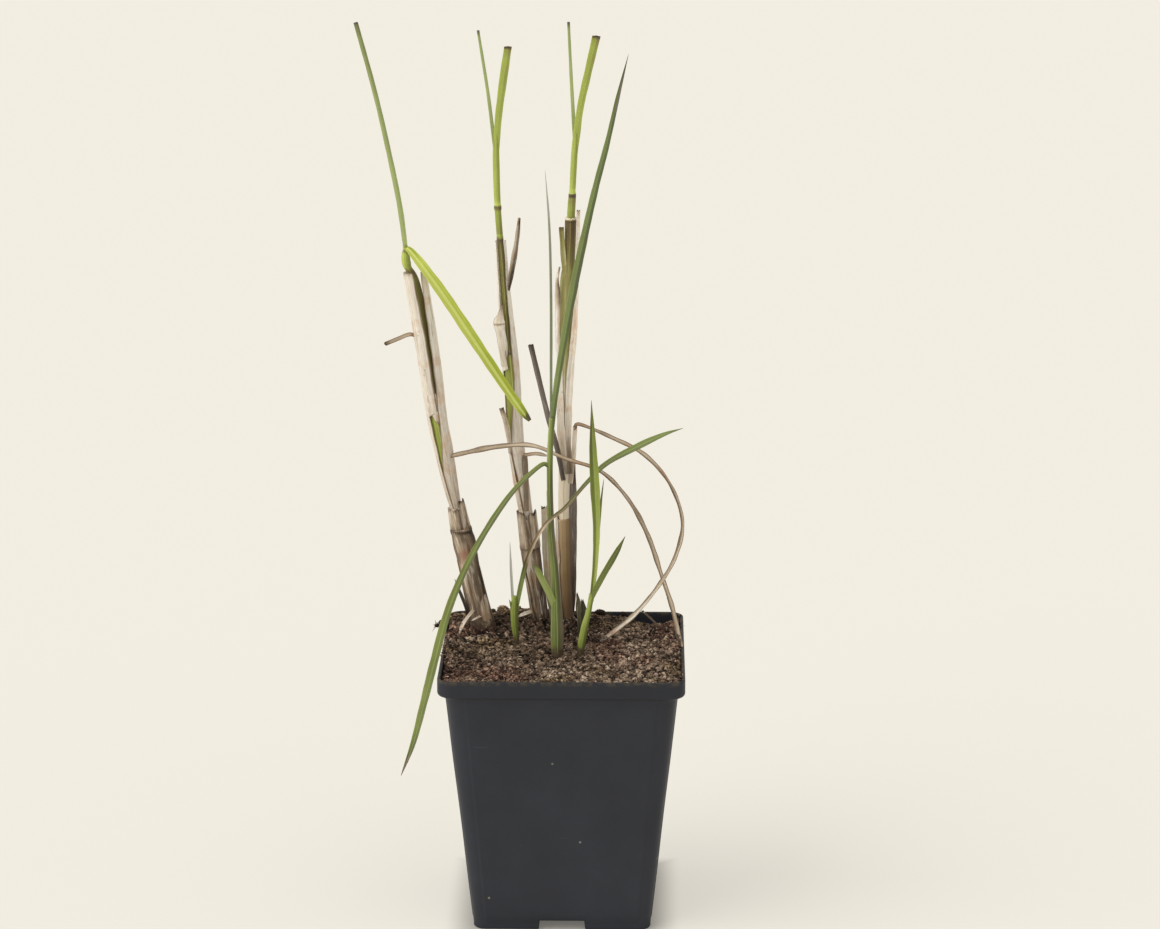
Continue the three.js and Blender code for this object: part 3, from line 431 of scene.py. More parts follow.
def soil_bed(finish, cells=300):
    """The filled pot's soil as one closed body: the crumbly top on a grid that is pressed into the square
    with round corners, then rows down the inside of the band and the wall to the floor."""
    share = np.linspace(-1, 1, cells + 1)
    inside = POT["rim_half"] - POT["wall"] - SOIL_GAP
    u, v = np.meshgrid(share, share, indexing="xy")
    x, y = square_disc(u, v, inside, POT["rim_corner"] - POT["wall"])
    z, marks = soil_surface(x, y)
    z = z - 0.6 * np.clip((np.maximum(np.abs(u), np.abs(v)) - 0.975) / 0.025, 0, 1)
    i, j = np.meshgrid(np.arange(cells), np.arange(cells), indexing="ij")
    here = i * (cells + 1) + j
    faces = np.stack([here, here + 1, here + cells + 2, here + cells + 1], axis=-1).reshape(-1, 4).tolist()
    line = np.arange(cells)
    rim = np.concatenate([
        line * (cells + 1) + cells, cells * (cells + 1) + cells - line, (cells - line) * (cells + 1), line,
    ])
    ring_u, ring_v = u.ravel()[rim], v.ravel()[rim]
    ledge = RIM_FOOT + POT["wall"]
    depths = [(inside, ledge + 0.5, POT["rim_corner"] - POT["wall"])]
    for z_low in (ledge + SOIL_GAP, 60, 30, SOIL_FOOT):
        depths.append((body_half(z_low) - POT["wall"] - SOIL_GAP, z_low, body_corner(z_low) - POT["wall"]))
    points, last = [np.stack([x, y, z], axis=-1).reshape(-1, 3)], rim
    for half, z_low, corner in depths:
        side_x, side_y = square_disc(ring_u, ring_v, half, corner)
        ring = sum(len(rows) for rows in points) + np.arange(len(rim))
        points.append(np.column_stack([side_x, side_y, np.full(len(rim), z_low)]))
        faces += np.stack([last, ring, np.roll(ring, -1), np.roll(last, -1)], axis=-1).tolist()
        last = ring
    centre = sum(len(rows) for rows in points)
    points.append(np.array([[0, 0, SOIL_FOOT]]))
    faces += np.stack([last, np.full(len(rim), centre), np.roll(last, -1)], axis=-1).tolist()
    below = np.tile([0.6, 0.3, 0.5], (centre + 1 - marks.size // 3, 1))
    return body("soil_bed", np.vstack(points), faces, finish, marks=np.vstack([marks.reshape(-1, 3), below]))


def attribute(tree, name):
    """The three numbers of a vector attribute."""
    return split(tree, wire(tree, "Attribute", attribute_name=name).outputs["Vector"])


def added(tree, tone, *noises):
    """The tone with each noise of [value, strength] added about its middle, kept from 0 to 1."""
    for value, strength in noises:
        tone = math(tree, "ADD", tone, math(tree, "MULTIPLY_ADD", value, strength, -strength / 2))
    return math(tree, "MAXIMUM", math(tree, "MINIMUM", tone, 1), 0)


def peat():
    """Peat, dark brown and darker where it is damp, with painted shade near black in its low gaps and under
    the loose crumbs, each crumb's own tone from red-brown to grey-tan, pale short fibres that lie every way,
    and a rough felted grain."""
    finish, tree, shader = material("peat")
    relief, tone, damp = attribute(tree, "marks")
    place = object_place(tree)
    felt, patch, warm = noise(tree, place, 1700, 4, 0.75), noise(tree, place, 60, 3), noise(tree, place, 45)
    shade = added(tree, math(tree, "MULTIPLY_ADD", damp, -0.16, tone), (felt, 0.9), (patch, 0.4))
    base = ramp(tree, shade, [(0.12, (38, 29, 22)), (0.32, (72, 57, 45)), (0.5, (105, 86, 70)),
                              (0.68, (146, 124, 105)), (0.88, (206, 186, 162))])
    # Painted shade: the lower the relief, the nearer black, in the gaps between crumbs and under loose
    # crumbs.
    base = mix(tree, fade(tree, relief, 0.45, 1.25), (19, 14, 10), base)
    base = mix(tree, fade(tree, warm, 0.5, 0.66, 0, 0.6), base, (132, 122, 70), "SOFT_LIGHT")
    base = mix(tree, fade(tree, warm, 0.48, 0.34, 0, 0.6), base, (138, 92, 96), "SOFT_LIGHT")
    for turned, squeezed in ((0.5, (500, 2600, 1600)), (1.9, (2600, 450, 1600)), (1.2, (420, 2400, 1600))):
        lying = wire(tree, "Mapping", {"Vector": place, "Rotation": (0.2, 0.1, turned), "Scale": squeezed})
        fibre = noise(tree, lying.outputs[0], 1)
        base = mix(tree, fade(tree, fibre, 0.66, 0.72, 0, 0.55), base, (178, 156, 130))
    base = mix(tree, math(tree, "MULTIPLY", damp, 0.5), base, (150, 138, 130), "MULTIPLY")
    give(tree, shader, {
        "Base Color": base, "Roughness": 0.93, "Specular IOR Level": 0.15,
        "Normal": bump(tree, felt, 0.9, 0.0004),
    })
    return finish


peat_finish = peat()
bed = soil_bed(peat_finish)
fix(bed, "soil", "soil")

# The loose crumbs
# Crumbs of the same peat that rolled free when the pot was filled. They lie half sunk on the top and along
# the lip, most of them small, and some hang as a clod over the left rim.
CLOD = [(-41.6, 21, 101.3, 2), (-44, 20.8, 102, 1.8), (-46.4, 21.2, 102.2, 1.6), (-48.2, 20.6, 101.4, 1.2)]
LUMPS = [(13.1, 41, 100.6, 1.9), (-33, 36, 101.6, 1.7), (-24, 38, 102.6, 1.8), (16, 37, 99.9, 1.5),
         (-28, 40, 101.2, 1.3), (-18.5, 40, 102.2, 1.4), (-14, 41, 101.2, 1.2), (-38.5, 39, 100.6, 1.3),
         (22, 42, 99.8, 1)]
SMALL_COUNT, LARGE_COUNT = 6000, 380
LIP_COUNT, LIP_LEFT, LIP_FRONT = 340, 220, 50
LIP_LEVEL = 100.15


def round_lump(subdivisions):
    """The points and triangles of a ball of triangles with a radius of one."""
    bpy.ops.mesh.primitive_ico_sphere_add(subdivisions=subdivisions, radius=1)
    ball = bpy.context.object
    points = np.array([vertex.co for vertex in ball.data.vertices])
    faces = np.array([face.vertices for face in ball.data.polygons])
    bpy.data.objects.remove(ball)
    return points, faces


def turns(draw, count, tilt):
    """Random turns, one matrix each: any angle about Z, then up to the tilt about X."""
    about, tip = draw.uniform(0, 2 * pi, count), draw.uniform(-tilt, tilt, count)
    zero, one = np.zeros(count), np.ones(count)
    c, s = np.cos(about), np.sin(about)
    turned = np.array([[c, -s, zero], [s, c, zero], [zero, zero, one]])
    c, s = np.cos(tip), np.sin(tip)
    tipped = np.array([[one, zero, zero], [zero, c, -s], [zero, s, c]])
    return np.einsum("abn,bcn->nac", tipped, turned)


def crumbs(name, places, radii, subdivisions, seed, shape=(1.35, 0.75, 0.55), rough=0.28):
    """Crumbs at places, each a ball whose points are pushed in or out at random, drawn to an oblong shape and
    turned."""
    draw = np.random.default_rng(seed)
    ball, triangles = round_lump(subdivisions)
    count = len(places)
    knobbly = ball[None] * (1 + draw.uniform(-rough, 0.8 * rough, (count, len(ball), 1)))
    shaped = knobbly * draw.uniform(0.7, 1.2, (count, 1, 3)) * shape * np.asarray(radii)[:, None, None]
    points = np.einsum("nab,npb->npa", turns(draw, count, 0.6), shaped) + np.asarray(places)[:, None]
    faces = (triangles[None] + len(ball) * np.arange(count)[:, None, None]).reshape(-1, 3).tolist()
    tone = np.broadcast_to(draw.uniform(0.15, 0.8, (count, 1)), (count, len(ball)))
    # rise is read as relief: lower on each crumb's underside, where the peat paints shade.
    rise = 0.9 + 0.35 * ball[None, :, 2] + np.zeros((count, 1))
    damp = np.broadcast_to(soil_surface(*np.asarray(places).T[:2])[1][:, 2:], (count, len(ball)))
    marks = np.stack([rise, tone, damp], axis=-1).reshape(-1, 3)
    fix(body(name, points.reshape(-1, 3), faces, peat_finish, marks=marks), "soil")


def scattered(draw, count, reach=42.6):
    """Places on the soil at random, as x, y and the height of the soil there."""
    x, y = draw.uniform(-reach, reach, (2, count))
    return x, y, soil_surface(x, y)[0]


draw = np.random.default_rng(21)
x, y, z = scattered(draw, SMALL_COUNT)
size = 0.17 + 0.33 * draw.random(SMALL_COUNT) ** 3
crumbs("small_crumbs", np.column_stack([x, y, z + 0.2 * size]), size, 1, 22)
x, y, z = scattered(draw, LARGE_COUNT, 41.5)
size = 0.45 + 0.6 * draw.random(LARGE_COUNT) ** 3
crumbs("large_crumbs", np.column_stack([x, y, z + 0.1 * size]), size, 2, 23)
clods = np.array(CLOD + LUMPS)
crumbs("rim_clods", clods[:, :3], clods[:, 3] * 0.9, 4, 24, (1.15, 0.95, 0.85), 0.4)
along, lip = draw.uniform(-41, 41, LIP_COUNT), draw.uniform(43.5, 44.6, LIP_COUNT)
number = np.arange(LIP_COUNT)
left, right = number < LIP_LEFT, number >= LIP_LEFT + LIP_FRONT
along = np.where(left, along.clip(-14, 41), along)
lip_x = np.where(left, -lip, np.where(right, lip - 0.4, along))
lip_y = np.where(left | right, along, -lip)
size = 0.18 + (0.2 + 0.42 * left) * draw.random(LIP_COUNT) ** 2
crumbs("lip_crumbs", np.column_stack([lip_x, lip_y, np.full(LIP_COUNT, LIP_LEVEL)]), size, 2, 25)

# The threads and chips
# Threads of moss and fine roots stick out of the peat, with flat chips of bark and straw pressed into it.
# They came with the peat and lie as they fell.
THREAD_COUNT, ROOTS_PER_LUMP, CHIP_COUNT = 1100, 9, 520
NAMED_CHIPS = [(-21.7, -1.7, 2.4), (-36, 3, 1.6), (10.2, -25, 1.5), (22, -12, 1.5), (5.7, -17.8, 1.4)]


def threads(name, start, heading, bend, length, radius, finish, steps=9, sides=5):
    """Many thin threads in one mesh. Each is a parabola from its start: along its heading, with its bend
    added by the square of the share of its length, and its radius drawn in towards its tip."""
    share = np.linspace(0, 1, steps)[None, :, None]
    length = np.asarray(length)[:, None, None]
    middle = start[:, None] + length * (share * heading[:, None] + share ** 2 * bend[:, None])
    along = heading[:, None] + 2 * share * bend[:, None]
    across = np.cross(along, np.array([0.31, 0.17, 0.93]))
    across /= np.linalg.norm(across, axis=-1, keepdims=True)
    up = np.cross(across, along)
    up /= np.linalg.norm(up, axis=-1, keepdims=True)
    angle = np.linspace(0, 2 * pi, sides + 1)[:-1][None, None, :, None]
    thick = np.asarray(radius)[:, None, None, None] * (1.05 - 0.8 * share ** 2)[:, :, None]
    ring = middle[:, :, None] + thick * (np.cos(angle) * across[:, :, None] - np.sin(angle) * up[:, :, None])
    count = len(start)
    number, row, column = np.meshgrid(np.arange(count), np.arange(steps - 1), np.arange(sides), indexing="ij")
    after = (column + 1) % sides
    base = number * steps * sides
    near, far = base + row * sides, base + (row + 1) * sides
    quads = np.stack([near + column, near + after, far + after, far + column], axis=-1)
    faces = quads.reshape(-1, 4).tolist()
    first = np.arange(count)[:, None] * steps * sides + np.arange(sides)[::-1]
    faces += first.tolist() + (first[:, ::-1] + (steps - 1) * sides).tolist()
    tone = np.broadcast_to(np.random.default_rng(count).uniform(0, 1, (count, 1, 1)), ring.shape[:3])
    marks = np.stack([tone, tone, tone], axis=-1).reshape(-1, 3)
    fix(body(name, ring.reshape(-1, 3), faces, finish, marks=marks), "soil")


def litter(name, stops, roughness):
    """Dead plant litter in a range of tones, one to a piece, with a fine grain."""
    finish, tree, shader = material(name)
    grain = noise(tree, object_place(tree), 2200, 3)
    shade = added(tree, attribute(tree, "marks")["Y"], (grain, 0.5))
    give(tree, shader, {
        "Base Color": ramp(tree, shade, stops), "Roughness": roughness,
        "Normal": bump(tree, grain, 0.5, 0.0001),
    })
    return finish


thread_finish = litter("moss_thread", [
    (0, (58, 44, 33)), (0.4, (104, 84, 66)), (0.75, (158, 138, 114)), (1, (204, 188, 164)),
], 0.8)
draw = np.random.default_rng(31)
start = np.column_stack(scattered(draw, THREAD_COUNT, 42))
turn, lift = draw.uniform(0, 2 * pi, THREAD_COUNT), draw.uniform(-0.1, 0.5, THREAD_COUNT)
heading = np.column_stack([np.cos(turn), np.sin(turn), lift])
bend = np.column_stack([draw.uniform(-0.5, 0.5, (THREAD_COUNT, 2)), -0.5 - 0.6 * lift])
length = 0.8 + 3.2 * draw.random(THREAD_COUNT) ** 2.2
threads("moss_threads", start, heading, bend, length, draw.uniform(0.04, 0.1, THREAD_COUNT), thread_finish)

root_finish = litter("dark_root", [(0, (40, 30, 24)), (0.6, (86, 66, 50)), (1, (140, 114, 88))], 0.8)
hairs = np.random.default_rng(33)
start = np.repeat(np.array(CLOD)[:, :3], ROOTS_PER_LUMP, axis=0)
start += hairs.normal(0, 0.5, start.shape)
heading = hairs.normal(0, 1, start.shape) + (-0.7, -0.2, 0.2)
heading /= np.linalg.norm(heading, axis=-1, keepdims=True)
threads("clod_roots", start, heading, hairs.uniform(-0.6, 0.6, start.shape),
        hairs.uniform(1.2, 3.2, len(start)), hairs.uniform(0.07, 0.14, len(start)), root_finish)


def chips(name, places, lengths, seed):
    """Flat chips: an eight-sided lozenge with a bevelled edge, drawn out along its grain, tilted a little and
    turned at random."""
    draw = np.random.default_rng(seed)
    count, corners = len(places), 8
    angle = np.linspace(0, 2 * pi, corners + 1)[:-1]
    outline = np.column_stack([np.cos(angle), np.sin(angle)])
    layers = [(0.8, -0.5), (1, -0.15), (1, 0.15), (0.75, 0.5)]
    rings = [[(*(share * corner), rise) for corner in outline] for share, rise in layers]
    shape = np.array(rings).reshape(-1, 3)
    wide = np.asarray(lengths) * draw.uniform(0.2, 0.45, count)
    size = np.column_stack([lengths, wide, np.full(count, 0.35)]) * 0.5
    uneven = shape[None] * (1 + draw.uniform(-0.22, 0.22, (count, len(shape), 1)))
    flat = uneven * size[:, None]
    turn, tilt = draw.uniform(0, 2 * pi, count), draw.uniform(-0.35, 0.35, (2, count))
    x = flat[..., 0] * np.cos(turn)[:, None] - flat[..., 1] * np.sin(turn)[:, None]
    y = flat[..., 0] * np.sin(turn)[:, None] + flat[..., 1] * np.cos(turn)[:, None]
    z = flat[..., 2] + tilt[0][:, None] * x + tilt[1][:, None] * y
    points = np.stack([x, y, z], axis=-1) + np.asarray(places)[:, None]
    column = np.arange(corners)
    after = (column + 1) % corners
    floors = [corners * k for k in range(len(layers))]
    wall = [[low + column, low + after, high + after, high + column] for low, high in zip(floors, floors[1:])]
    quads = np.array(wall).transpose(0, 2, 1).reshape(-1, 4)
    step = len(shape) * np.arange(count)[:, None, None]
    faces = (quads[None] + step).reshape(-1, 4).tolist()
    faces += (column[::-1][None] + step[:, 0]).tolist() + (floors[-1] + column[None] + step[:, 0]).tolist()
    tone = np.broadcast_to(draw.uniform(0, 1, (count, 1)), points.shape[:2])
    marks = np.stack([tone, tone, tone], axis=-1).reshape(-1, 3)
    fix(body(name, points.reshape(-1, 3), faces, chip_finish, marks=marks), "soil")


chip_finish = litter("bark_chip", [
    (0, (72, 54, 40)), (0.4, (128, 104, 80)), (0.75, (176, 154, 126)), (1, (214, 198, 172)),
], 0.75)
x, y, z = scattered(draw, CHIP_COUNT, 42)
named_x, named_y, named_length = np.array(NAMED_CHIPS).T
x, y = np.append(x, named_x), np.append(y, named_y)
chip_length = np.append(0.5 + 1.1 * draw.random(CHIP_COUNT) ** 2, named_length)
chips("bark_chips", np.column_stack([x, y, soil_surface(x, y)[0] + 0.15]), chip_length, 35)

# The left cane's foot
# The stump of last year's cane, as thick as a pencil and bound in its oldest sheaths, which are grey-brown
# and wrinkled. A ring marks its node, torn wraps cling to its base, and short dry husks splay where it enters
# the soil.
LEFT_FOOT = [(-28, 21, 90, 4.6), (-31, 21.5, 101, 4.3), (-35.2, 22, 120, 3.6), (-37.6, 22, 133, 3.8),
    (-39.3, 22, 140, 3.5), (-40.7, 22, 147.5, 2.9)]
FRONT = (0, -1, 0)


def line(route, rows, facing=FRONT):
    """A smooth line through a route's points of [x, y, z, size]: on each stretch the cubic whose slope at a
    point is half the step between its neighbours (Catmull and Rom's spline). side is along x facing and out
    is side x along. turn runs from 0 to 1 by the route's stretches, share by the length."""
    known = np.array(route, float)
    known = np.vstack([2 * known[0] - known[1], known, 2 * known[-1] - known[-2]])
    t = np.linspace(0, len(route) - 1, rows)
    i = np.minimum(t.astype(int), len(route) - 2)
    a, b, c, d = (known[i + k] for k in range(4))
    u = (t - i)[:, None]
    at = b + 0.5 * u * (c - a + u * (2 * a - 5 * b + 4 * c - d + u * (3 * b - a - 3 * c + d)))
    slope = 0.5 * (c - a) + u * (2 * a - 5 * b + 4 * c - d) + 1.5 * u * u * (3 * b - a - 3 * c + d)
    along = slope[:, :3] / np.linalg.norm(slope[:, :3], axis=1, keepdims=True)
    side = np.cross(along, np.array(facing, float))
    side /= np.linalg.norm(side, axis=1, keepdims=True)
    steps = np.linalg.norm(np.diff(at[:, :3], axis=0), axis=1)
    length = np.concatenate([[0], np.cumsum(steps)])
    return {
        "centre": at[:, :3], "side": side, "out": np.cross(side, along), "size": np.maximum(at[:, 3:], 0.02),
        "turn": t / t[-1], "share": length / length[-1], "length": length,
    }


def at_height(*marks, left=0.0):
    """A tone read from [height, tone] marks by the height of each point, lighter by left on the left side and
    darker on the right: painted light and shade, as from the key lamp at the upper left.
    """
    heights, tones = np.array(marks).T
    return lambda points, across, share: np.interp(points[..., 2], heights, tones) - left * across


def at_share(*marks, left=0.0):
    """A tone read from [share, tone] marks by the share of the way along. left lightens one side of the fold
    and darkens the other: painted light and shade across the fold."""
    shares, tones = np.array(marks).T
    return lambda points, across, share: np.interp(share, shares, tones) - left * np.tanh(4 * across)


def grown(name, finish, way, ring, across, tone, offsets, lift=0.0):
    """A closed skin round a line: ring holds each row's [side, out] offsets and lift moves a point on along
    the line. It carries its place (across, share, tone) and its grain (two offsets and the length along)."""
    side, out = way["side"][:, None], way["out"][:, None]
    forward = np.cross(out, side) * (lift[..., None] if np.ndim(lift) else lift)
    points = way["centre"][:, None] + ring[..., :1] * side + ring[..., 1:] * out + forward
    across = np.broadcast_to(across, points.shape[:2])
    share, run = (np.broadcast_to(way[key][:, None], points.shape[:2]) for key in ("share", "length"))
    offsets = np.broadcast_to(offsets, (*points.shape[:2], 2))
    place = np.stack([across, share, tone(points, across, share)], axis=-1)
    return skin(name, points, finish, place=place, grain=np.concatenate([offsets, run[..., None]], axis=-1))


def torn_end(way, depth):
    """How far each point of a ring is moved back along the line near its end, by the depth of the tear
    there."""
    tear, length = 3, way["length"]
    return -np.clip((length - length[-1] + tear) / tear, 0, 1)[:, None] ** 2 * depth[None]


def stalk(name, route, finish, tone, rows=90, columns=40, nodes=(), lap=0.0, ribs=0.02, seed=1):
    """A stem: a ring whose radius is the route's size, ribbed lengthwise by a few sines, raised by a bell at
    each node of [height, rise, half length], and stepped by lap where a wrapped sheath overlaps itself."""
    way = line(route, rows)
    run, height = way["length"][:, None], way["centre"][:, 2:]
    angle = np.linspace(0, 2 * pi, columns + 1)[:-1][None]
    phase = np.random.default_rng(seed).uniform(0, 2 * pi, 4)
    rib = sum(np.sin(k * angle + p + run / 30) for k, p in zip((3, 5, 9, 14), phase))
    bell = sum(rise * np.exp(-((height - z) / half) ** 4) for z, rise, half in nodes)
    radius = way["size"] * (1 + ribs * rib) + bell + lap * (((angle - 3.9 + run / 60) / (2 * pi)) % 1)
    ring = np.stack([radius * np.cos(angle), -radius * np.sin(angle)], axis=-1)
    around = np.stack([3 * np.cos(angle), 3 * np.sin(angle)], axis=-1)
    return grown(name, finish, way, ring, np.cos(angle), tone, around)


def leaf(name, route, finish, tone, facing=FRONT, fold=0.45, thick=0.4, rib=0.25, tip=0.0, ragged=0.0,
         cut=0.0, ripple=0.02, seed=1):
    """A blade: across it runs a shallow V, whose edges stand towards the facing side, with a rib under its
    middle and thin edges. It tapers over the last share that tip gives, and its end is cut on a slant or
    torn."""
    rows_per_point, columns = 24, 15
    way = line(route, rows_per_point * len(route), facing)
    u = np.sin(np.linspace(-pi / 2, pi / 2, columns))
    draw = np.random.default_rng(seed)
    waves = sum(np.sin(way["length"] * k + draw.uniform(0, 2 * pi)) for k in (0.16, 0.37, 0.71))
    width = way["size"][:, 0] * (1 + ripple * waves)
    if tip:
        width = width * np.sqrt(np.clip((1 - way["share"]) / tip, 0.004, 1))
    width = width[:, None]
    a = u[None] * width / 2
    b = fold * width / 4 * (2 * np.sqrt(u * u + 0.015)[None] - 1)
    half = thick / 2 * np.minimum(1, width / 1.2) * (0.25 + 0.75 * np.sqrt(1 - u * u))[None]
    under = half + rib * np.minimum(1, width / 2) * np.exp(-(u / 0.16) ** 2)[None]
    ring = np.concatenate([np.stack([a, b + half], -1), np.stack([a, b - under], -1)[:, -2:0:-1]], axis=1)
    across = np.concatenate([u, u[-2:0:-1]])
    torn = torn_end(way, cut * across + ragged * draw.uniform(-1, 1, len(across)))
    face = np.broadcast_to(np.where(np.arange(len(across)) < len(u), 0.0, 7.0), torn.shape)
    offsets = np.stack([across * width / 2, face], axis=-1)
    return grown(name, finish, way, ring, across[None], tone, offsets, torn)


def sheath(name, route, finish, tone, arc, rows=120, columns=22, thick=0.3, ragged=0.0, curl=0.0, wander=2.5,
           seed=1):
    """A sheath: part of a tube round its line, between the two angles of an arc of [turn, from, to], where 0
    is the front and 90 the right. Its edges curl in by a share of the radius and wander by a few degrees."""
    way = line(route, rows)
    turn, low, high = np.array(arc, float).T
    draw = np.random.default_rng(seed)
    phase = draw.uniform(0, 2 * pi, 4)
    strays = [sum(np.sin(way["length"] * k + p) for k, p in zip((0.21, 0.55), phase[n:])) for n in (0, 2)]
    first, final = (np.radians(np.interp(way["turn"], turn, ends) + wander * stray)[:, None]
                    for ends, stray in zip((low, high), strays))
    u = np.sin(np.linspace(-pi / 2, pi / 2, columns))[None]
    angle = first + (final - first) * (u + 1) / 2
    flutes = 0.012 * np.sin(9 * angle + phase[0]) + 0.01 * np.sin(17 * angle + phase[1])
    outer = way["size"] * (1 + flutes - curl * u ** 6)
    inner = outer - thick * (0.3 + 0.7 * np.sqrt(1 - u * u))
    there = np.stack([outer * np.sin(angle), outer * np.cos(angle)], axis=-1)
    back = np.stack([inner * np.sin(angle), inner * np.cos(angle)], axis=-1)[:, ::-1]
    ring = np.concatenate([there, back], axis=1)
    torn = ragged * draw.uniform(-0.25, 1, columns)
    lift = torn_end(way, np.concatenate([torn, torn[::-1]]))
    return grown(name, finish, way, ring, np.concatenate([u, u[:, ::-1]], axis=1), tone, ring, lift)


def shared_group(name, inputs, output):
    """A new node group with number inputs of [name, value] and one number output."""
    tree = bpy.data.node_groups.new(name, "ShaderNodeTree")
    for label, value in inputs:
        socket = tree.interface.new_socket(label, in_out="INPUT", socket_type="NodeSocketFloat")
        socket.default_value = value
    tree.interface.new_socket(output, in_out="OUTPUT", socket_type="NodeSocketFloat")
    given, result = tree.nodes.new("NodeGroupInput").outputs, tree.nodes.new("NodeGroupOutput").inputs
    return tree, given, result[output]


def use(tree, shared, **inputs):
    """A shared node group placed in a material with its own values, as its output."""
    made = tree.nodes.new("ShaderNodeGroup")
    made.node_tree = shared
    for label, value in inputs.items():
        made.inputs[label].default_value = value
    return made.outputs[0]


def fibre_group():
    """Fibres along the grain: noise on the grain attribute, stretched to a fibre's width and length."""
    tree, given, result = shared_group("fibres", [("Width", 0.2), ("Length", 20), ("Detail", 2)], "Streak")
    sizes = [given["Width"], given["Width"], given["Length"]]
    parts = [math(tree, "DIVIDE", part, size) for part, size in zip(attribute(tree, "grain"), sizes)]
    stretched = wire(tree, "CombineXYZ", dict(enumerate(parts))).outputs[0]
    tree.links.new(noise(tree, stretched, 1, given["Detail"]), result)
    return tree


def soiling_group():
    """Peat splashed on whatever stands in it, inside the rim: thick at the soil's level and gone a little
    above."""
    tree, given, result = shared_group("soiling", [("Top", 0.109)], "Mask")
    place = object_place(tree)
    near = wire(tree, "MapRange", {
        "Value": split(tree, place)["Z"], "From Min": 0.0985, "From Max": given["Top"],
        "To Min": 1, "To Max": 0,
    }).outputs[0]
    spots = math(tree, "SUBTRACT", noise(tree, place, 700, 4, 0.7), 0.62)
    both = math(tree, "MULTIPLY_ADD", near, 0.75, spots)
    inside = fade(tree, from_axis(tree, place), 0.0445, 0.0435)
    tree.links.new(math(tree, "MULTIPLY", fade(tree, both, 0.12, 0.42), inside), result)
    return tree


fibres, soiling = fibre_group(), soiling_group()


def straw(name, stops, streaking=0.4, edge=0.5, edge_from=0.82, mottling=0.3, weathering=0.3, glow=0.0,
          patch=None):
    """Dry sheath or blade: a range of tones from the piece's own tone, streaked by broad and fine fibres,
    with bleached and rotted patches along the grain, dark creases, small mould spots, darker edges, a matt
    silky skin, and light that glows through where it is thin. The darker edges are partly real browning of
    blade and sheath edges and partly painted shade: on a round stem they darken both sides as seen from the
    front. A patch of [x, y, z, radius] is a red-brown scar."""
    finish, tree, shader = material(name)
    across, _, tone = attribute(tree, "place")
    broad = use(tree, fibres, Width=0.6, Length=30, Detail=2)
    fine = use(tree, fibres, Width=0.13, Length=15, Detail=3)
    worn = use(tree, fibres, Width=1.1, Length=9, Detail=3)
    place = object_place(tree)
    mottle = noise(tree, place, 120, 4, 0.6)
    shade = added(tree, tone, (broad, 1.3 * streaking), (fine, 0.8 * streaking), (mottle, mottling))
    base = ramp(tree, shade, stops)
    base = mix(tree, fade(tree, worn, 0.54, 0.66, 0, weathering), base, (214, 204, 190))
    base = mix(tree, fade(tree, worn, 0.45, 0.34, 0, weathering), base, (84, 66, 52))
    base = mix(tree, fade(tree, mottle, 0.5, 0.66, 0, 0.5), base, (226, 184, 150), "MULTIPLY")
    base = mix(tree, fade(tree, fine, 0.6, 0.7, 0, 0.55), base, (160, 136, 112), "MULTIPLY")
    # Darker edges: browning on blades and sheaths, and painted shade down both sides of a round stem.
    rim = fade(tree, math(tree, "ABSOLUTE", across), edge_from, 0.97, 0, edge)
    base = mix(tree, rim, base, (132, 106, 88), "MULTIPLY")
    mould = math(tree, "MULTIPLY", fade(tree, nearest_speck(tree, place, 520), 0.3, 0.12),
                 fade(tree, noise(tree, place, 210, 1), 0.6, 0.7, 0, 0.4))
    base = mix(tree, mould, base, (78, 60, 46))
    if patch:
        away = wire(tree, "VectorMath", {0: place, 1: [MM * v for v in patch[:3]]}, operation="DISTANCE")
        red = fade(tree, away.outputs["Value"], MM * patch[3], 0.3 * MM * patch[3], 0, 0.6)
        base = mix(tree, red, base, (150, 104, 84))
    give(tree, shader, {
        "Base Color": mix(tree, use(tree, soiling), base, (74, 58, 44)),
        "Roughness": fade(tree, fine, 0.3, 0.7, 0.55, 0.78), "Specular IOR Level": 0.3,
        "Subsurface Weight": glow, "Subsurface Radius": (1, 0.96, 0.9), "Subsurface Scale": 0.0012,
        "Normal": bump(tree, math(tree, "MULTIPLY_ADD", broad, 1.6, fine), 0.7, 0.00012),
    })
    return finish


DRY = [(0.05, (58, 47, 37)), (0.25, (104, 91, 74)), (0.45, (150, 134, 113)), (0.65, (194, 179, 158)),
    (0.85, (224, 211, 193)), (1, (240, 232, 218))]
WEATHERED = [(0.05, (52, 42, 34)), (0.25, (88, 72, 58)), (0.45, (122, 106, 86)), (0.65, (156, 138, 114)),
    (0.85, (194, 178, 154)), (1, (220, 206, 184))]
dry = straw("dry_straw", DRY, edge=0.85, edge_from=0.89, weathering=0.25, glow=0.4)
dark_straw = straw("dark_straw", [(0.1, (50, 43, 40)), (0.4, (92, 82, 74)), (0.7, (132, 122, 114)),
    (0.95, (178, 168, 156))])
foot_straw = straw("foot_straw", WEATHERED, streaking=0.6, edge=0.75, edge_from=0.66, mottling=0.7,
    weathering=0.65, patch=(-37.4, 18.3, 129.5, 3.4))
fix(stalk("left_cane_foot", LEFT_FOOT, foot_straw, at_height((99, 0.3), (110, 0.44), (124, 0.57), (134, 0.6),
    (137.4, 0.5), (138.4, 0.1), (139.2, 0.66), (143, 0.7), (147, 0.72), left=0.14), rows=150, columns=56,
    nodes=((138.5, 0.22, 0.9), (133, 0.2, 3)), lap=0.5, ribs=0.014, seed=3), "dry_straw", "cane_left_dry")
husk_tone = at_share((0, 0.5), (0.5, 0.82), (1, 0.9))
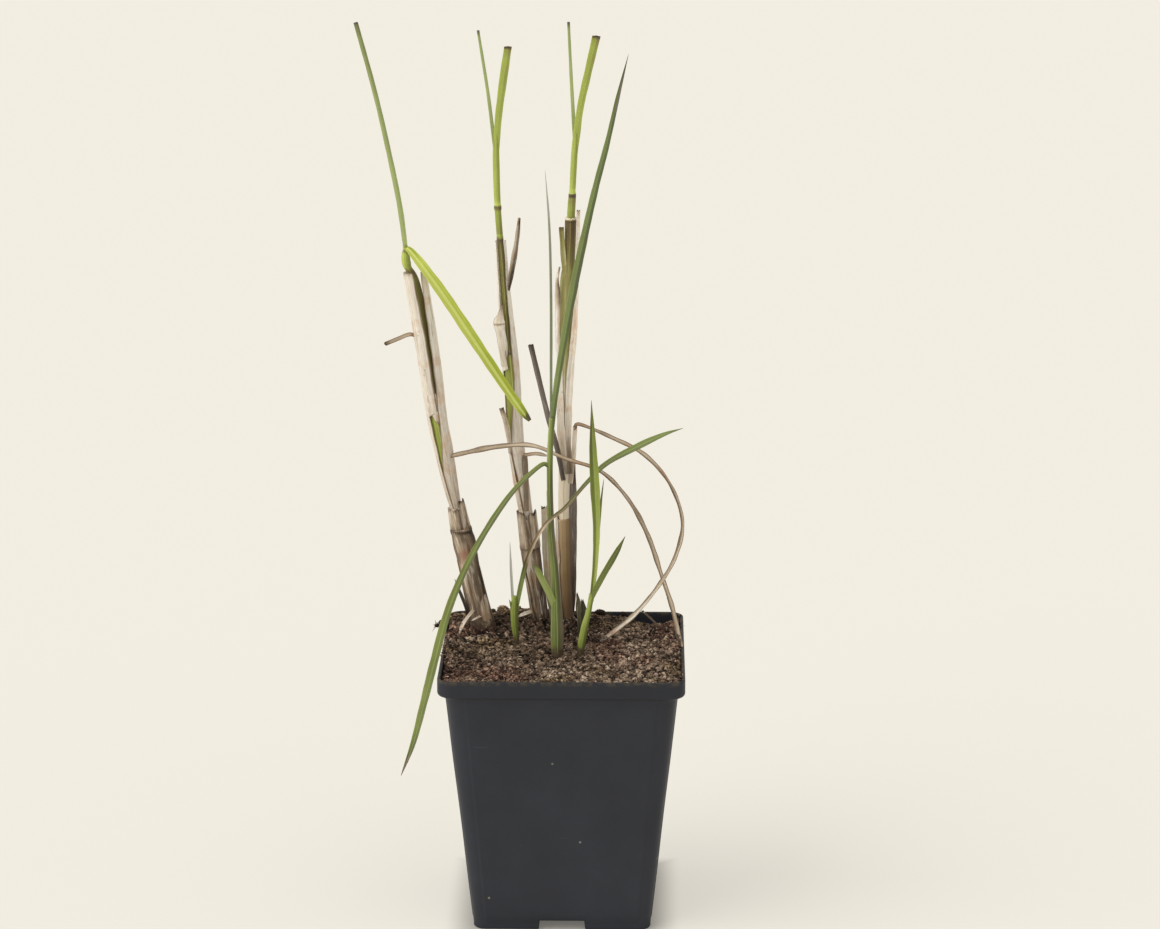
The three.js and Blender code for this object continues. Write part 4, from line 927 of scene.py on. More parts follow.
wraps = [
    ("left_wrap_low", [(-28.6, 21.1, 92, 5), (-31, 21.5, 101, 4.7), (-33.6, 21.8, 113, 4.25)],
     at_height((99, 0.45), (108, 0.7), (113, 0.74)), [(0, -25, 120), (0.8, 8, 95), (1, 30, 70)]),
    ("left_wrap_high", [(-30, 21.3, 98, 4.8), (-33, 21.8, 110, 4.4), (-35.9, 22, 123.5, 4.05)],
     at_height((99, 0.4), (112, 0.38), (123, 0.3)), [(0, 70, 190), (0.7, 62, 175), (1, 75, 120)]),
    ("left_wrap_side", [(-29, 21.2, 94, 5), (-32, 21.7, 106, 4.55), (-34.7, 22, 117.5, 4.15)],
     at_height((99, 0.4), (110, 0.55), (117, 0.5)), [(0, -150, -38), (0.7, -140, -60), (1, -120, -85)]),
]


def wrap_round(wraps, ragged, seed):
    """Thin torn wraps of weathered straw, each of [name, route, tone, arc]."""
    for number, (name, route, tone, arc) in enumerate(wraps):
        wrap = sheath(name, route, foot_straw, tone, arc, rows=60, thick=0.2, ragged=ragged,
                      seed=seed + number)
        fix(wrap, "dry_straw")


wrap_round(wraps, 2.2, 60)
fix(leaf("left_bract", [(-36, 19.5, 106, 1.6), (-39.3, 17.5, 115.5, 1.2), (-41.3, 16.5, 121, 0.7)],
    dark_straw, at_share((0, 0.1), (1, 0.45)), thick=0.3, tip=0.25, ripple=0.08, rib=0.1), "dry_straw")
for name, route in (
    ("left_husk_long", [(-34, 18.6, 108.5, 1.3), (-37.8, 12.5, 104.8, 1.5), (-39.5, 7.5, 101.2, 0.9)]),
    ("left_husk_short", [(-31, 17.8, 106.3, 1.2), (-35, 13.8, 105.3, 0.8)]),
):
    fix(leaf(name, route, dry, husk_tone, facing=(0, -0.4, 0.9), thick=0.3, tip=0.25, ripple=0.08, rib=0.1),
        "dry_straw")

# The left cane's sheath
# The sheath of last year's leaf, split down its front into two long papery halves that stand round the culm,
# pruned square at the top, with a tongue curled over the split. The torn collar of an older one clasps its
# foot, and a short cut stub stands out to its left.
LEFT_SHEATH = [(-40.4, 22, 145, 2), (-42.9, 21.5, 157, 2.9), (-45.1, 21, 169.5, 3.5),
    (-47.4, 20.7, 181.5, 3.75), (-49.9, 20, 202, 4.2), (-51.8, 19.2, 216, 4.3), (-55.2, 18, 238.5, 4.3)]
fix(sheath("left_sheath_left", LEFT_SHEATH, dry, at_share((0, 0.66), (0.2, 0.74), (0.5, 0.84), (0.85, 0.92),
    (0.985, 0.85), (1, 0.6)), [(0, -178, -18), (0.23, -178, -31), (0.3, -178, -36), (0.37, -178, -33),
    (0.48, -178, -35), (0.522, -177, -40), (0.534, -176, 14), (0.59, -175, 10), (0.67, -174, 7),
    (0.82, -172, 4), (0.92, -168, 0), (0.96, -158, -3), (1, -145, -6)], ragged=0.3, wander=1, seed=4),
    "dry_straw", "cane_left_dry")
# The right half's tones stand above the left half's: painted light on the half turned away from the key lamp.
fix(sheath("left_sheath_right", LEFT_SHEATH, dry, at_share((0, 0.66), (0.2, 0.8), (0.6, 0.95), (0.9, 0.95),
    (1, 0.7)), [(0, -17, 178), (0.23, -30, 178), (0.3, -16, 178), (0.37, -2, 178), (0.48, 14, 177),
    (0.534, 12, 176), (0.59, 19, 176), (0.67, 22, 172), (0.82, 22, 165), (0.92, 28, 140), (0.96, 32, 110),
    (1, 36, 92)], ragged=0.6, wander=1, seed=5), "dry_straw")
fix(leaf("left_sheath_tongue", [(-49.2, 16.6, 192, 3.4), (-48.2, 17, 186.8, 3.7), (-47.1, 17.4, 182.8, 2.9),
    (-46.3, 17.8, 180, 0.6)], dry, at_share((0, 0.84), (0.6, 0.8), (0.8, 0.66), (0.9, 0.4), (1, 0.2)),
    fold=-0.45, rib=0, seed=72), "dry_straw")
collar_tone = at_share((0, 0.5), (0.2, 0.72), (0.8, 0.78), (0.95, 0.66), (1, 0.3), left=0.06)
fix(sheath("left_collar_left", [(-39.2, 22, 139.5, 3.9), (-40.6, 22, 147.4, 3.3)], foot_straw, collar_tone,
    [(0, -150, 20), (1, -140, 20)], rows=30, ragged=1.1, seed=6), "dry_straw")
fix(sheath("left_collar_right", [(-39.2, 22, 139.5, 3.9), (-40.9, 22, 150, 3.1)], foot_straw, collar_tone,
    [(0, 10, 160), (1, 25, 120)], rows=30, ragged=1.3, seed=7), "dry_straw")
strand_straw = straw("strand_straw", [(0.05, (58, 47, 33)), (0.25, (102, 87, 62)), (0.45, (143, 125, 99)),
    (0.65, (183, 167, 144)), (0.85, (216, 201, 174)), (1, (238, 228, 210))], streaking=0.55, edge=0.85,
    edge_from=0.3, glow=0.2)
fix(leaf("left_stub", [(-54.9, 18.6, 214.2, 1.3), (-57.5, 17.2, 214.8, 1.5), (-61.5, 15.5, 213.5, 1.5),
    (-66, 13.5, 212, 1.6)], strand_straw, at_share((0, 0.6), (0.3, 0.8), (0.8, 0.72), (0.93, 0.5), (1, 0.2)),
    fold=0.8, thick=0.3, ragged=0.4, seed=8), "dry_straw")

# The left cane's dry strand
# A dead blade, shrivelled to a two-toned cord-like fold, which arches over the pot to the right and comes
# down on the rim.
fix(leaf("left_strand", [(-42.8, 20.2, 167.2, 1.5), (-39.5, 17, 169, 1.9), (-25, 13, 173, 2),
    (-11.5, 9, 174.5, 1.8), (1, 5, 170.5, 1.4), (13.5, 5, 166, 1.5), (23.5, 6, 155.5, 1.6),
    (31, 6.5, 141.5, 1.7), (36.5, 6, 125.5, 1.7), (40.5, 4.5, 113.5, 1.8), (42.8, 1.4, 103.8, 1.7),
    (44, -3.4, 100.9, 1.1)], strand_straw, at_share((0, 0.6), (0.12, 0.55), (0.3, 0.7), (0.45, 0.5),
    (0.7, 0.6), (0.85, 0.75), (1, 0.6), left=0.12), facing=(0, -0.8, 0.6), fold=0.8, thick=0.3, ripple=0.08,
    seed=9), "dry_straw")

# The left cane's culm and blades
# The live culm stands inside the sheath and ends in a swollen yellow-green node. From it rise a narrow blade,
# cut off high up, and a wide one that has folded over and hangs down to the right, with a pale midrib.


def living(name, stops, rib, rib_width=0.1, veining=0.25, gloss=0.42, cut_edge=(84, 72, 58)):
    """Live grass: a range of greens from the piece's own tone, parallel veins, a paler midrib and margins,
    and a waxy skin. The lowest tones are a dead or cut edge."""
    finish, tree, shader = material(name)
    across, _, tone = attribute(tree, "place")
    veins = use(tree, fibres, Width=0.14, Length=90, Detail=1)
    bands = use(tree, fibres, Width=0.5, Length=40, Detail=2)
    mottle = noise(tree, object_place(tree), 90, 4)
    shade = added(tree, tone, (veins, veining), (bands, 1.2 * veining), (mottle, 0.28))
    base = ramp(tree, shade, [(0.02, cut_edge), *stops])
    away = math(tree, "ABSOLUTE", across)
    alive = fade(tree, tone, 0.12, 0.35)
    for start, stop, strength in ((1.6 * rib_width, 0.3 * rib_width, 0.7), (0.88, 0.98, 0.35)):
        base = mix(tree, math(tree, "MULTIPLY", fade(tree, away, start, stop, 0, strength), alive), base, rib)
    give(tree, shader, {
        "Base Color": mix(tree, use(tree, soiling, Top=0.106), base, (74, 60, 42)),
        "Roughness": fade(tree, veins, 0.3, 0.7, gloss, gloss + 0.14), "Specular IOR Level": 0.35,
        "Normal": bump(tree, math(tree, "MULTIPLY_ADD", bands, 1.5, veins), 0.5, 0.0001),
    })
    return finish


culm_green = living("culm_green", [(0.2, (100, 86, 54)), (0.42, (126, 119, 62)), (0.62, (146, 157, 67)),
    (0.85, (182, 192, 92))], (190, 200, 118), 0.05)
yellow_green = living("yellow_green", [(0.2, (96, 102, 26)), (0.42, (128, 138, 34)), (0.62, (156, 167, 50)),
    (0.85, (194, 202, 96))], (214, 220, 128), 0.26)
pale_green = living("pale_green", [(0.2, (104, 98, 74)), (0.45, (122, 132, 80)), (0.65, (146, 158, 98)),
    (0.85, (178, 188, 124))], (176, 184, 130), 0.05)
LEFT_CULM = [(-40.9, 22, 148.2, 1.2), (-44.7, 21, 167, 2.8), (-47.4, 20.7, 182, 2.9), (-50.8, 19.4, 208, 2.4),
    (-54.6, 18.3, 233, 1.7), (-57.9, 18, 241, 1.1), (-58.4, 18, 248, 0.9)]
fix(stalk("left_culm", LEFT_CULM, culm_green, at_height((150, 0.45), (162, 0.5), (182, 0.58), (184.5, 0.3),
    (190, 0.34), (206, 0.4), (216, 0.44), (226, 0.47), (236, 0.5), (238.4, 0.2), (240, 0.66), (245, 0.74),
    (246.2, 0.3), (246.8, 0.62), (248, 0.5), left=0.16), rows=160, columns=24, nodes=((242.9, 0.6, 2.9),),
    seed=10), "culm_green", "cane_left_green")
fix(leaf("left_long_blade", [(-58.1, 18, 245.5, 1.7), (-60.5, 17, 265, 2), (-65.5, 16, 291, 1.8),
    (-69.5, 15, 309, 1.8), (-75, 13, 330.8, 1.6)], pale_green, at_share((0, 0.85), (0.12, 0.76), (0.6, 0.64),
    (0.93, 0.55), (0.99, 0.3), (1, 0.05), left=0.15), fold=0.7, thick=0.35, ragged=0.15, seed=11),
    "culm_green")
fix(leaf("left_folded_blade", [(-58.3, 17.4, 247.4, 1.2), (-56.2, 15.8, 246.1, 2.6),
    (-51.2, 13.4, 240.3, 3.7), (-43.9, 12.4, 230.2, 4.2), (-32.5, 11.2, 213, 4.1), (-21.2, 10, 196, 3.7),
    (-15.2, 9.3, 187.4, 3), (-12.5, 9.2, 184.1, 1.3)], yellow_green, at_share((0, 0.6), (0.1, 0.84),
    (0.5, 0.74), (0.9, 0.72), (0.955, 0.5), (0.975, 0.12), (1, 0.06), left=-0.1), facing=(0.25, -0.9, 0.3),
    fold=0.6, thick=0.35, seed=12), "culm_green")

# The middle cane's foot
# A second stump, behind the shoots, bound like the first and a little darker, with a husk at its soil line.
MIDDLE_FOOT = [(-8, 28, 90, 2.9), (-9.3, 28, 101, 2.95), (-11.2, 27.2, 116, 3.1), (-13.1, 26, 131, 3.4),
    (-14.3, 25.2, 142.5, 3.2)]
fix(stalk("middle_cane_foot", MIDDLE_FOOT, foot_straw, at_height((99, 0.27), (108, 0.42), (122, 0.54),
    (129, 0.62), (131, 0.4), (132.2, 0.66), (142, 0.72), left=0.2), rows=140, columns=52,
    nodes=((131, 0.15, 0.9),), lap=0.4, ribs=0.016, seed=13), "dry_straw", "cane_middle_dry")
wraps = [
    ("middle_wrap_left", [(-8.5, 28, 93, 3.2), (-10.3, 27.6, 108, 3.35), (-12.4, 26.5, 125, 3.7)],
     at_height((99, 0.4), (112, 0.6), (125, 0.72)), [(0, -130, -20), (0.8, -120, -42), (1, -100, -70)]),
    ("middle_wrap_right", [(-8.5, 28, 93, 3.3), (-10, 27.7, 106, 3.4), (-11.5, 27.1, 117.5, 3.55)],
     at_height((99, 0.3), (110, 0.32), (117, 0.42)), [(0, 25, 150), (0.8, 38, 130), (1, 60, 95)]),
]
wrap_round(wraps, 2, 64)
fix(leaf("middle_husk", [(-11.5, 26.3, 105.6, 1.2), (-15, 24.8, 105, 1.5), (-18, 23.4, 104, 0.9)], dry,
    husk_tone, facing=(0, -0.8, 0.6), thick=0.3, tip=0.2, rib=0.1, seed=14), "dry_straw")

# The middle cane's sheath
# Two thin torn halves round the culm, a broken flap folded out on the left, a cut stub, a dark fold, and two
# short dry blades, all of last year's growth and fixed where they grew.
MIDDLE_SHEATH = [(-14, 25.3, 140, 2.4), (-16.4, 24, 157, 2.95), (-18.4, 23.3, 175, 3.1),
    (-19.4, 23, 194, 3.1), (-20.3, 23, 205, 3.2), (-22.3, 23.5, 229, 2.4), (-23.7, 24, 249, 2.1)]
fix(sheath("middle_sheath_left", MIDDLE_SHEATH, dry, at_share((0, 0.7), (0.3, 0.78), (0.7, 0.9), (1, 0.95)),
    [(0, -178, -10), (0.15, -178, -20), (0.28, -178, -46), (0.31, -178, -62), (0.35, -178, -68),
    (0.43, -177, -72), (0.55, -174, -66), (0.606, -172, -60), (0.616, -168, -12), (0.68, -165, -20),
    (0.745, -165, -34), (0.79, -165, -44), (0.9, -160, -42), (1, -140, -46)], ragged=0.5, wander=1, seed=15),
    "dry_straw", "cane_middle_dry")
# The right half's tones stand above the left half's: painted light on the half turned away from the key lamp.
fix(sheath("middle_sheath_right", MIDDLE_SHEATH, dry, at_share((0, 0.7), (0.3, 0.88), (0.7, 0.98), (1, 0.95)),
    [(0, -10, 178), (0.17, -20, 178), (0.31, -44, 178), (0.34, -28, 178), (0.39, -16, 177), (0.48, 8, 176),
    (0.56, 18, 175), (0.67, 18, 172), (0.83, 26, 150), (0.95, 38, 115), (1, 48, 100)], ragged=0.6, wander=1.2,
    seed=16), "dry_straw")
collar_tone = at_share((0, 0.5), (0.2, 0.74), (0.8, 0.8), (0.95, 0.7), (1, 0.3))
fix(sheath("middle_collar_left", [(-13, 26, 131, 3.9), (-14.8, 25.2, 145.5, 3.5)], foot_straw, collar_tone,
    [(0, -150, 5), (1, -150, -5)], rows=30, ragged=1, seed=17), "dry_straw")
fix(sheath("middle_collar_right", [(-13, 26, 131, 3.9), (-14.6, 25.2, 145, 3.9)], foot_straw, collar_tone,
    [(0, 10, 150), (1, 15, 110)], rows=30, ragged=1.2, curl=0.06, seed=18), "dry_straw")
dry_blades = [
    ("middle_flap", [(-22.2, 21, 202, 2.4), (-22.8, 20.2, 210.4, 3.6), (-24, 19.2, 218.3, 4.5),
     (-23.6, 19.2, 221.6, 2.5), (-23, 19.6, 225.5, 0.6)], at_share((0, 0.84), (0.5, 0.92), (0.66, 0.94),
     (0.69, 0.5), (0.72, 0.9), (0.9, 0.6), (1, 0.3)), {"fold": -0.35}),
    ("middle_stub", [(-20, 21.6, 168.5, 1.6), (-21.4, 19, 179.5, 1.9), (-23.3, 18, 186.5, 1.8)],
     at_share((0, 0.66), (0.5, 0.72), (0.85, 0.62), (0.95, 0.4), (1, 0.3), left=0.14),
     {"fold": 0.7, "ragged": 0.6}),
    ("middle_brown_blade", [(-20.6, 21.9, 230.5, 1.1), (-19.4, 21.5, 238, 2), (-17.4, 20.7, 250, 1.7),
     (-16.5, 20, 258, 1)], at_share((0, 0.06), (0.2, 0.16), (0.4, 0.42), (0.6, 0.5), (0.88, 0.45),
     (0.95, 0.15), (1, 0.4), left=0.26), {"fold": 0.9, "ragged": 0.3}),
    ("middle_fold", [(-14.2, 22, 146, 1.8), (-14.3, 21, 158, 2.5), (-14.7, 20.8, 168, 2.1)],
     at_share((0, 0.4), (0.5, 0.38), (1, 0.3)), {"fold": -0.5, "facing": (0.5, -0.85, 0)}),
    ("middle_short_blade", [(-15.3, 21, 167.8, 1.6), (-10.5, 18, 169.2, 1.6), (-6, 15.5, 169, 1.4)],
     at_share((0, 0.55), (0.5, 0.72), (1, 0.6)), {"facing": (0, -0.8, 0.6), "tip": 0.3}),
]
for number, (name, route, tone, shape) in enumerate(dry_blades):
    look = strand_straw if name == "middle_short_blade" else dry
    fix(leaf(name, route, look, tone, thick=0.32, rib=0.15, ripple=0.05, seed=19 + number, **shape),
        "dry_straw")

# The middle cane's culm and blades
# An olive culm that shows between the torn halves, green where the sheath kept it fresh, then a dark ring and
# a bright new length that forks into a thin blade and a wide one, both cut by shears.
wide_cut = at_share((0, 0.66), (0.3, 0.72), (0.9, 0.66), (0.975, 0.5), (0.985, 0.04), (1, 0), left=0.14)
thin_cut = at_share((0, 0.66), (0.5, 0.72), (0.95, 0.62), (0.98, 0.2), (1, 0.04), left=0.12)
fix(stalk("middle_culm", [(-14.5, 25, 143.2, 1.2), (-16.5, 24, 157, 1.5), (-18.3, 23.3, 175, 2.5),
    (-19.2, 23, 194, 2.8), (-20.2, 23, 206, 2.6), (-20.9, 23.2, 212, 1.6), (-23, 23.8, 240, 1.2),
    (-24.5, 24, 261, 1.2), (-25, 24, 278, 1.25), (-25, 24, 285, 1.05), (-25, 24, 290, 0.5)], culm_green,
    at_height((150, 0.4), (176, 0.34), (186, 0.42), (194, 0.52), (204, 0.5), (206.2, 0.36), (206.6, 0.08),
    (209, 0.36), (225, 0.38), (240, 0.38), (246, 0.3), (248.6, 0.2), (249, 0.06), (249.8, 0.12), (250.3, 0.9),
    (251.5, 0.5), (256, 0.55), (260.6, 0.55), (260.9, 0.03), (261.5, 0.05), (262, 0.95), (264, 0.66),
    (280, 0.68), left=0.08), rows=240, columns=24, nodes=((261.2, 0.22, 0.7), (249.6, 0.12, 0.6)), seed=25),
    "culm_green", "cane_middle_green")
fix(leaf("middle_thin_blade", [(-25.3, 24, 281, 1), (-25.9, 24, 287, 1.4), (-28, 25, 304, 1.2),
    (-31.5, 27, 326.2, 1)], pale_green, thin_cut, fold=0.5, seed=26), "culm_green")
fix(leaf("middle_wide_blade", [(-24.9, 23.4, 278, 1.6), (-24.8, 23.4, 285, 2.4), (-24, 23, 295.5, 2.5),
    (-22.2, 22.4, 309, 2.9), (-20.4, 22, 321, 2.9)], culm_green, wide_cut, fold=0.6, cut=-0.2, seed=27),
    "culm_green")

# The right cane's foot
# The thinnest stump, half hidden by the shoots, bare and tan, with a dark flat sheath pressed to its right
# side and a pale one to its left.
RIGHT_FOOT = [(1.2, 29, 90, 2.9), (0.6, 29, 102, 2.9), (0, 27.2, 114, 2.8), (-0.5, 25.2, 130, 2.8),
    (-0.6, 23.8, 143, 2.7)]
tan_culm = living("tan_culm", [(0.15, (72, 56, 44)), (0.4, (104, 82, 58)), (0.6, (134, 108, 72)),
    (0.85, (180, 154, 118))], (150, 126, 92), rib_width=0.02, gloss=0.5, cut_edge=(50, 38, 30))
fix(stalk("right_cane_foot", RIGHT_FOOT, tan_culm, at_height((99, 0.3), (106, 0.44), (120, 0.62), (143, 0.78),
    left=0.24), rows=140, columns=48, ribs=0.01, seed=28), "dry_straw", "cane_right_dry")
fix(leaf("right_dark_sheath", [(2.5, 28.2, 104.6, 2), (2.8, 27.2, 112, 2.6), (3, 25, 130, 3),
    (3.2, 23.2, 148, 2.8), (3.1, 22.4, 164, 1.9)], dark_straw, at_height((104, 0.3), (112, 0.4), (130, 0.62),
    (155, 0.6), (164, 0.4)), fold=0.6, ragged=0.4, seed=29), "dry_straw")
fix(sheath("right_foot_sheath", [(0.7, 29, 99, 3.3), (-0.1, 27.2, 114, 3.2), (-0.5, 25.2, 130, 3.1),
    (-0.5, 23.6, 145, 3)], dry, at_height((99, 0.4), (112, 0.6), (130, 0.74), (145, 0.8)),
    [(0, -140, -30), (0.6, -140, -25), (1, -120, -45)], ragged=1.5, thick=0.25, seed=66), "dry_straw")

# The right cane's sheath
# A brown tube that grades to olive, cut square with a notch at its front, and the loose strips that tore from
# it on both sides, with two cut stubs.
tube_finish = living("old_culm", [(0.15, (72, 56, 38)), (0.35, (100, 84, 48)), (0.55, (118, 110, 56)),
    (0.7, (152, 146, 88)), (0.9, (222, 208, 184))], (150, 140, 92), rib_width=0.02, gloss=0.5,
    cut_edge=(58, 42, 30))
RIGHT_TUBE = [(-0.5, 24.2, 139, 2.1), (0, 22.2, 165, 2.2), (0.1, 21, 185, 2.3), (0.6, 20, 204, 2.5),
    (0.7, 20, 222, 2.6), (1.1, 20, 235, 2.6), (1.9, 20, 243, 2.1), (2.4, 20, 258.5, 2.1)]
fix(sheath("right_sheath_tube", RIGHT_TUBE, tube_finish, at_height((140, 0.95), (150, 1), (168, 1),
    (190, 0.97), (200, 0.7), (215, 0.64), (237, 0.64), (243, 0.5), (250, 0.38), (256.6, 0.3), (257.2, 0.06),
    (257.7, 0.95), (259, 0.9), left=0.13), [(0, -172, 172), (1, -172, 172)], rows=220, columns=30, ragged=0.5,
    seed=30), "dry_straw", "cane_right_dry")
strips = [
    ("right_strip_right", [(2, 20.4, 161, 2), (1.5, 19.5, 174.5, 2.1), (1.6, 18.5, 188, 2.7),
     (2.3, 17.7, 201, 2.6), (3.9, 17.2, 219, 1.9), (4.8, 17.1, 240, 1.5), (5.3, 17, 261.5, 1.3)],
     at_height((160, 0.3), (170, 0.5), (176, 0.84), (186, 0.92), (205, 0.94), (240, 0.92), (258, 0.84),
     (261, 0.6), left=0.1), {"ragged": 0.4, "fold": 0.8}),
    ("right_strip_left_low", [(0, 20.4, 161, 2.2), (-0.6, 19.2, 171, 2.7), (-1.3, 18.3, 181, 3.1),
     (-1.2, 18, 193, 1.7), (-0.7, 18, 203.5, 1)], at_height((160, 0.5), (170, 0.7), (182, 0.9), (190, 0.98),
     (204, 0.95)), {"tip": 0.3}),
    ("right_strip_left_high", [(-1.5, 18.6, 200, 1.2), (-2.4, 17.9, 212, 1.8), (-2.4, 17.3, 224, 1.9),
     (-2.4, 17, 231, 1.8), (-2.5, 17, 236, 1.2), (-1.6, 17, 240.5, 0.6)], at_height((202, 0.9), (224, 0.9),
     (227, 0.6), (234, 0.42), (236, 0.6), (237, 0.85), (240, 0.4), left=0.25), {"fold": -0.6}),
    ("right_stub", [(0.3, 18.5, 236, 1.6), (-0.5, 18.2, 247, 1.8), (-1, 17.8, 255, 1.8)],
     at_height((236, 0.7), (246, 0.72), (253.5, 0.6), (255, 0.3)), {"ragged": 0.3}),
    ("right_strip_narrow", [(2.3, 21.4, 157, 1.6), (3.4, 20.2, 168, 1.7), (4, 19.4, 179.5, 1.7)],
     at_height((157, 0.6), (168, 0.78), (179, 0.84)), {"ragged": 0.2}),
]
for number, (name, route, tone, shape) in enumerate(strips):
    look = tube_finish if name == "right_stub" else dry
    fix(leaf(name, route, look, tone, thick=0.32, rib=0.12, ripple=0.05, seed=31 + number, **shape),
        "dry_straw")
fix(leaf("right_grey_stub", [(-0.4, 20.3, 158.5, 1.7), (-2.5, 15.8, 171.5, 2), (-6, 13.8, 185, 2),
    (-12.2, 12, 212.2, 2)], dark_straw, at_share((0, 0.45), (0.5, 0.6), (0.85, 0.56), (0.95, 0.42), (1, 0.3),
    left=0.14), fold=0.7, ragged=0.25, seed=37), "dry_straw")

# The right cane's dry strand
# A second dead blade loops out to the right, over and down behind, and its tip lies on the soil.
fix(leaf("right_strand", [(3.7, 19.7, 178.5, 1.2), (6, 17.8, 180.5, 1.4), (18, 15.5, 176, 1.6),
    (30, 11.5, 170.5, 1.5), (39.3, 7.5, 160.5, 1.4), (44, 3.7, 147.5, 1.4), (41.8, 1.8, 135, 1.5),
    (36, 1.5, 124, 1.6), (27, 2.7, 112, 1.7), (18.8, 1.2, 105.2, 1.7), (13.7, -1.1, 102.2, 1.4)],
    strand_straw, at_share((0, 0.5), (0.15, 0.6), (0.4, 0.5), (0.6, 0.62), (0.8, 0.88), (0.92, 1.05),
    (1, 1.1), left=0.12), facing=(0, -0.8, 0.6), fold=0.8, thick=0.3, ripple=0.08, seed=38), "dry_straw")

# The right cane's culm and blades
# Like the middle cane's: a dark ring, a bright length, and a fork into two cut blades.
fix(stalk("right_culm", [(-0.5, 23.9, 144.2, 1), (0, 22.2, 165, 1.1), (0.2, 21, 185, 1.1),
    (1.2, 20, 204, 1.1), (1.9, 20, 240, 1), (2.5, 20, 259, 1.45), (2.9, 20, 265.6, 1.4), (3, 20, 267.6, 1.15),
    (3.6, 20, 280, 1.2), (4, 20, 287, 1), (4.1, 20, 292, 0.5)], culm_green, at_height((200, 0.4), (256, 0.5),
    (262, 0.56), (265.6, 0.4), (266.2, 0.03), (267, 0.05), (267.5, 0.98), (268.5, 0.98), (269.5, 0.7),
    (290, 0.72), left=0.08), rows=200, columns=24, nodes=((266.9, 0.22, 0.7),), seed=39), "culm_green",
    "cane_right_green")
fix(leaf("right_thin_blade", [(3.9, 20.2, 283, 1), (3.7, 20.2, 290, 1.4), (2.6, 21, 309.5, 1.2),
    (1.6, 22, 330, 1)], pale_green, thin_cut, fold=0.5, seed=40), "culm_green")
fix(leaf("right_wide_blade", [(4, 19.4, 281, 1.6), (4.5, 19.4, 288, 2.4), (6, 19.5, 299.5, 2.5),
    (8.6, 18.8, 311.5, 2.8), (11.8, 18, 325.5, 2.9)], culm_green, wide_cut, fold=0.6, cut=-0.2, seed=41),
    "culm_green")

# The middle shoot
# This year's main shoot: a flattened stem of wrapped sheaths, a tall wide blade, a thin one seen on its edge,
# a long blade that arches over the left rim to a dry tip, and a short side blade.
leaf_green = living("leaf_green", [(0.12, (116, 104, 78)), (0.3, (76, 80, 38)), (0.5, (100, 110, 50)),
    (0.7, (124, 134, 66)), (0.9, (152, 162, 96))], (150, 160, 100), 0.07, 0.35)
cool_green = living("cool_green", [(0.12, (112, 106, 96)), (0.3, (72, 79, 45)), (0.5, (98, 110, 59)),
    (0.7, (124, 138, 78)), (0.9, (154, 166, 112))], (148, 160, 112), 0.07, 0.35)
grey_green = living("grey_green", [(0.2, (186, 184, 172)), (0.45, (126, 132, 102)), (0.8, (148, 156, 120))],
    (162, 168, 136), 0.05, cut_edge=(158, 155, 142))
fix(stalk("middle_shoot_stem", [(-2, -9.8, 88, 1.6), (-2, -9.5, 99, 1.9), (-2, -8.8, 107, 2.25),
    (-2.3, -7.4, 116.5, 1.8), (-3.1, -5.3, 131, 1.3), (-4.5, -3.8, 148, 1.05), (-5, -2.6, 170, 1),
    (-4.2, -2, 188, 0.9)], leaf_green, at_height((98, 0.28), (104, 0.33), (112, 0.34), (122, 0.4),
    (130, 0.45), (138, 0.36), (152, 0.36), (163, 0.44), (172, 0.62), (188, 0.66), left=0.24), rows=150,
    columns=28, lap=0.3, seed=42), "leaf_green", "shoot_middle")
fix(leaf("middle_shoot_wide_blade", [(-4.6, -2.1, 181, 2), (-2, -1.5, 202.5, 2.3), (2, -1, 226.5, 2.9),
    (6.5, -1, 249.5, 2.9), (11.5, -0.8, 272, 2.4), (16, 0, 289.5, 1.95), (20, 1.4, 307, 1.4),
    (23.5, 3, 321, 0.6)], cool_green, at_share((0, 0.6), (0.3, 0.55), (0.8, 0.5), (0.9, 0.34), (0.95, 0.16),
    (1, 0.12), left=0.18), tip=0.1, seed=43), "leaf_green")
fix(leaf("middle_shoot_thin_blade", [(-4.5, -2.4, 181, 1.1), (-4.5, -1.8, 205, 1.5), (-4.5, -0.4, 232, 1.4),
    (-5, 0.5, 257, 1.2), (-6.5, 1, 279.5, 0.7)], grey_green, at_share((0, 0.65), (0.5, 0.5), (0.8, 0.3),
    (1, 0.15)), facing=(0.8, -0.6, 0), tip=0.15, seed=44), "leaf_green")
fix(leaf("middle_shoot_arch", [(-5, -2.9, 170, 1.6), (-8.5, -4.6, 170.3, 1.8), (-18.5, -7.5, 161, 2.1),
    (-28.5, -10, 146.5, 2.4), (-36.5, -10.6, 131, 2.7), (-42.7, -9.6, 115, 3.1), (-47.4, -10, 97.5, 3.4),
    (-51.6, -12.5, 81, 2.9), (-55.5, -15.5, 66.5, 2.2), (-60, -19, 55, 1.1)], leaf_green,
    at_share((0, 0.46), (0.3, 0.42), (0.6, 0.6), (0.85, 0.62), (0.93, 0.4), (0.97, 0.15), (1, 0.08),
    left=-0.12), facing=(-0.3, -0.8, 0.5), tip=0.08, seed=45), "leaf_green")
fix(leaf("middle_shoot_side_blade", [(-2.7, -7.8, 115, 1.8), (-4.4, -8.5, 121.5, 2.5), (-8.3, -9.5, 130, 2.3),
    (-11, -10.2, 136, 1)], leaf_green, at_share((0, 0.8), (0.6, 0.9), (0.85, 0.7), (0.93, 0.2), (1, 0.14),
    left=0.1), tip=0.2, seed=46), "leaf_green")

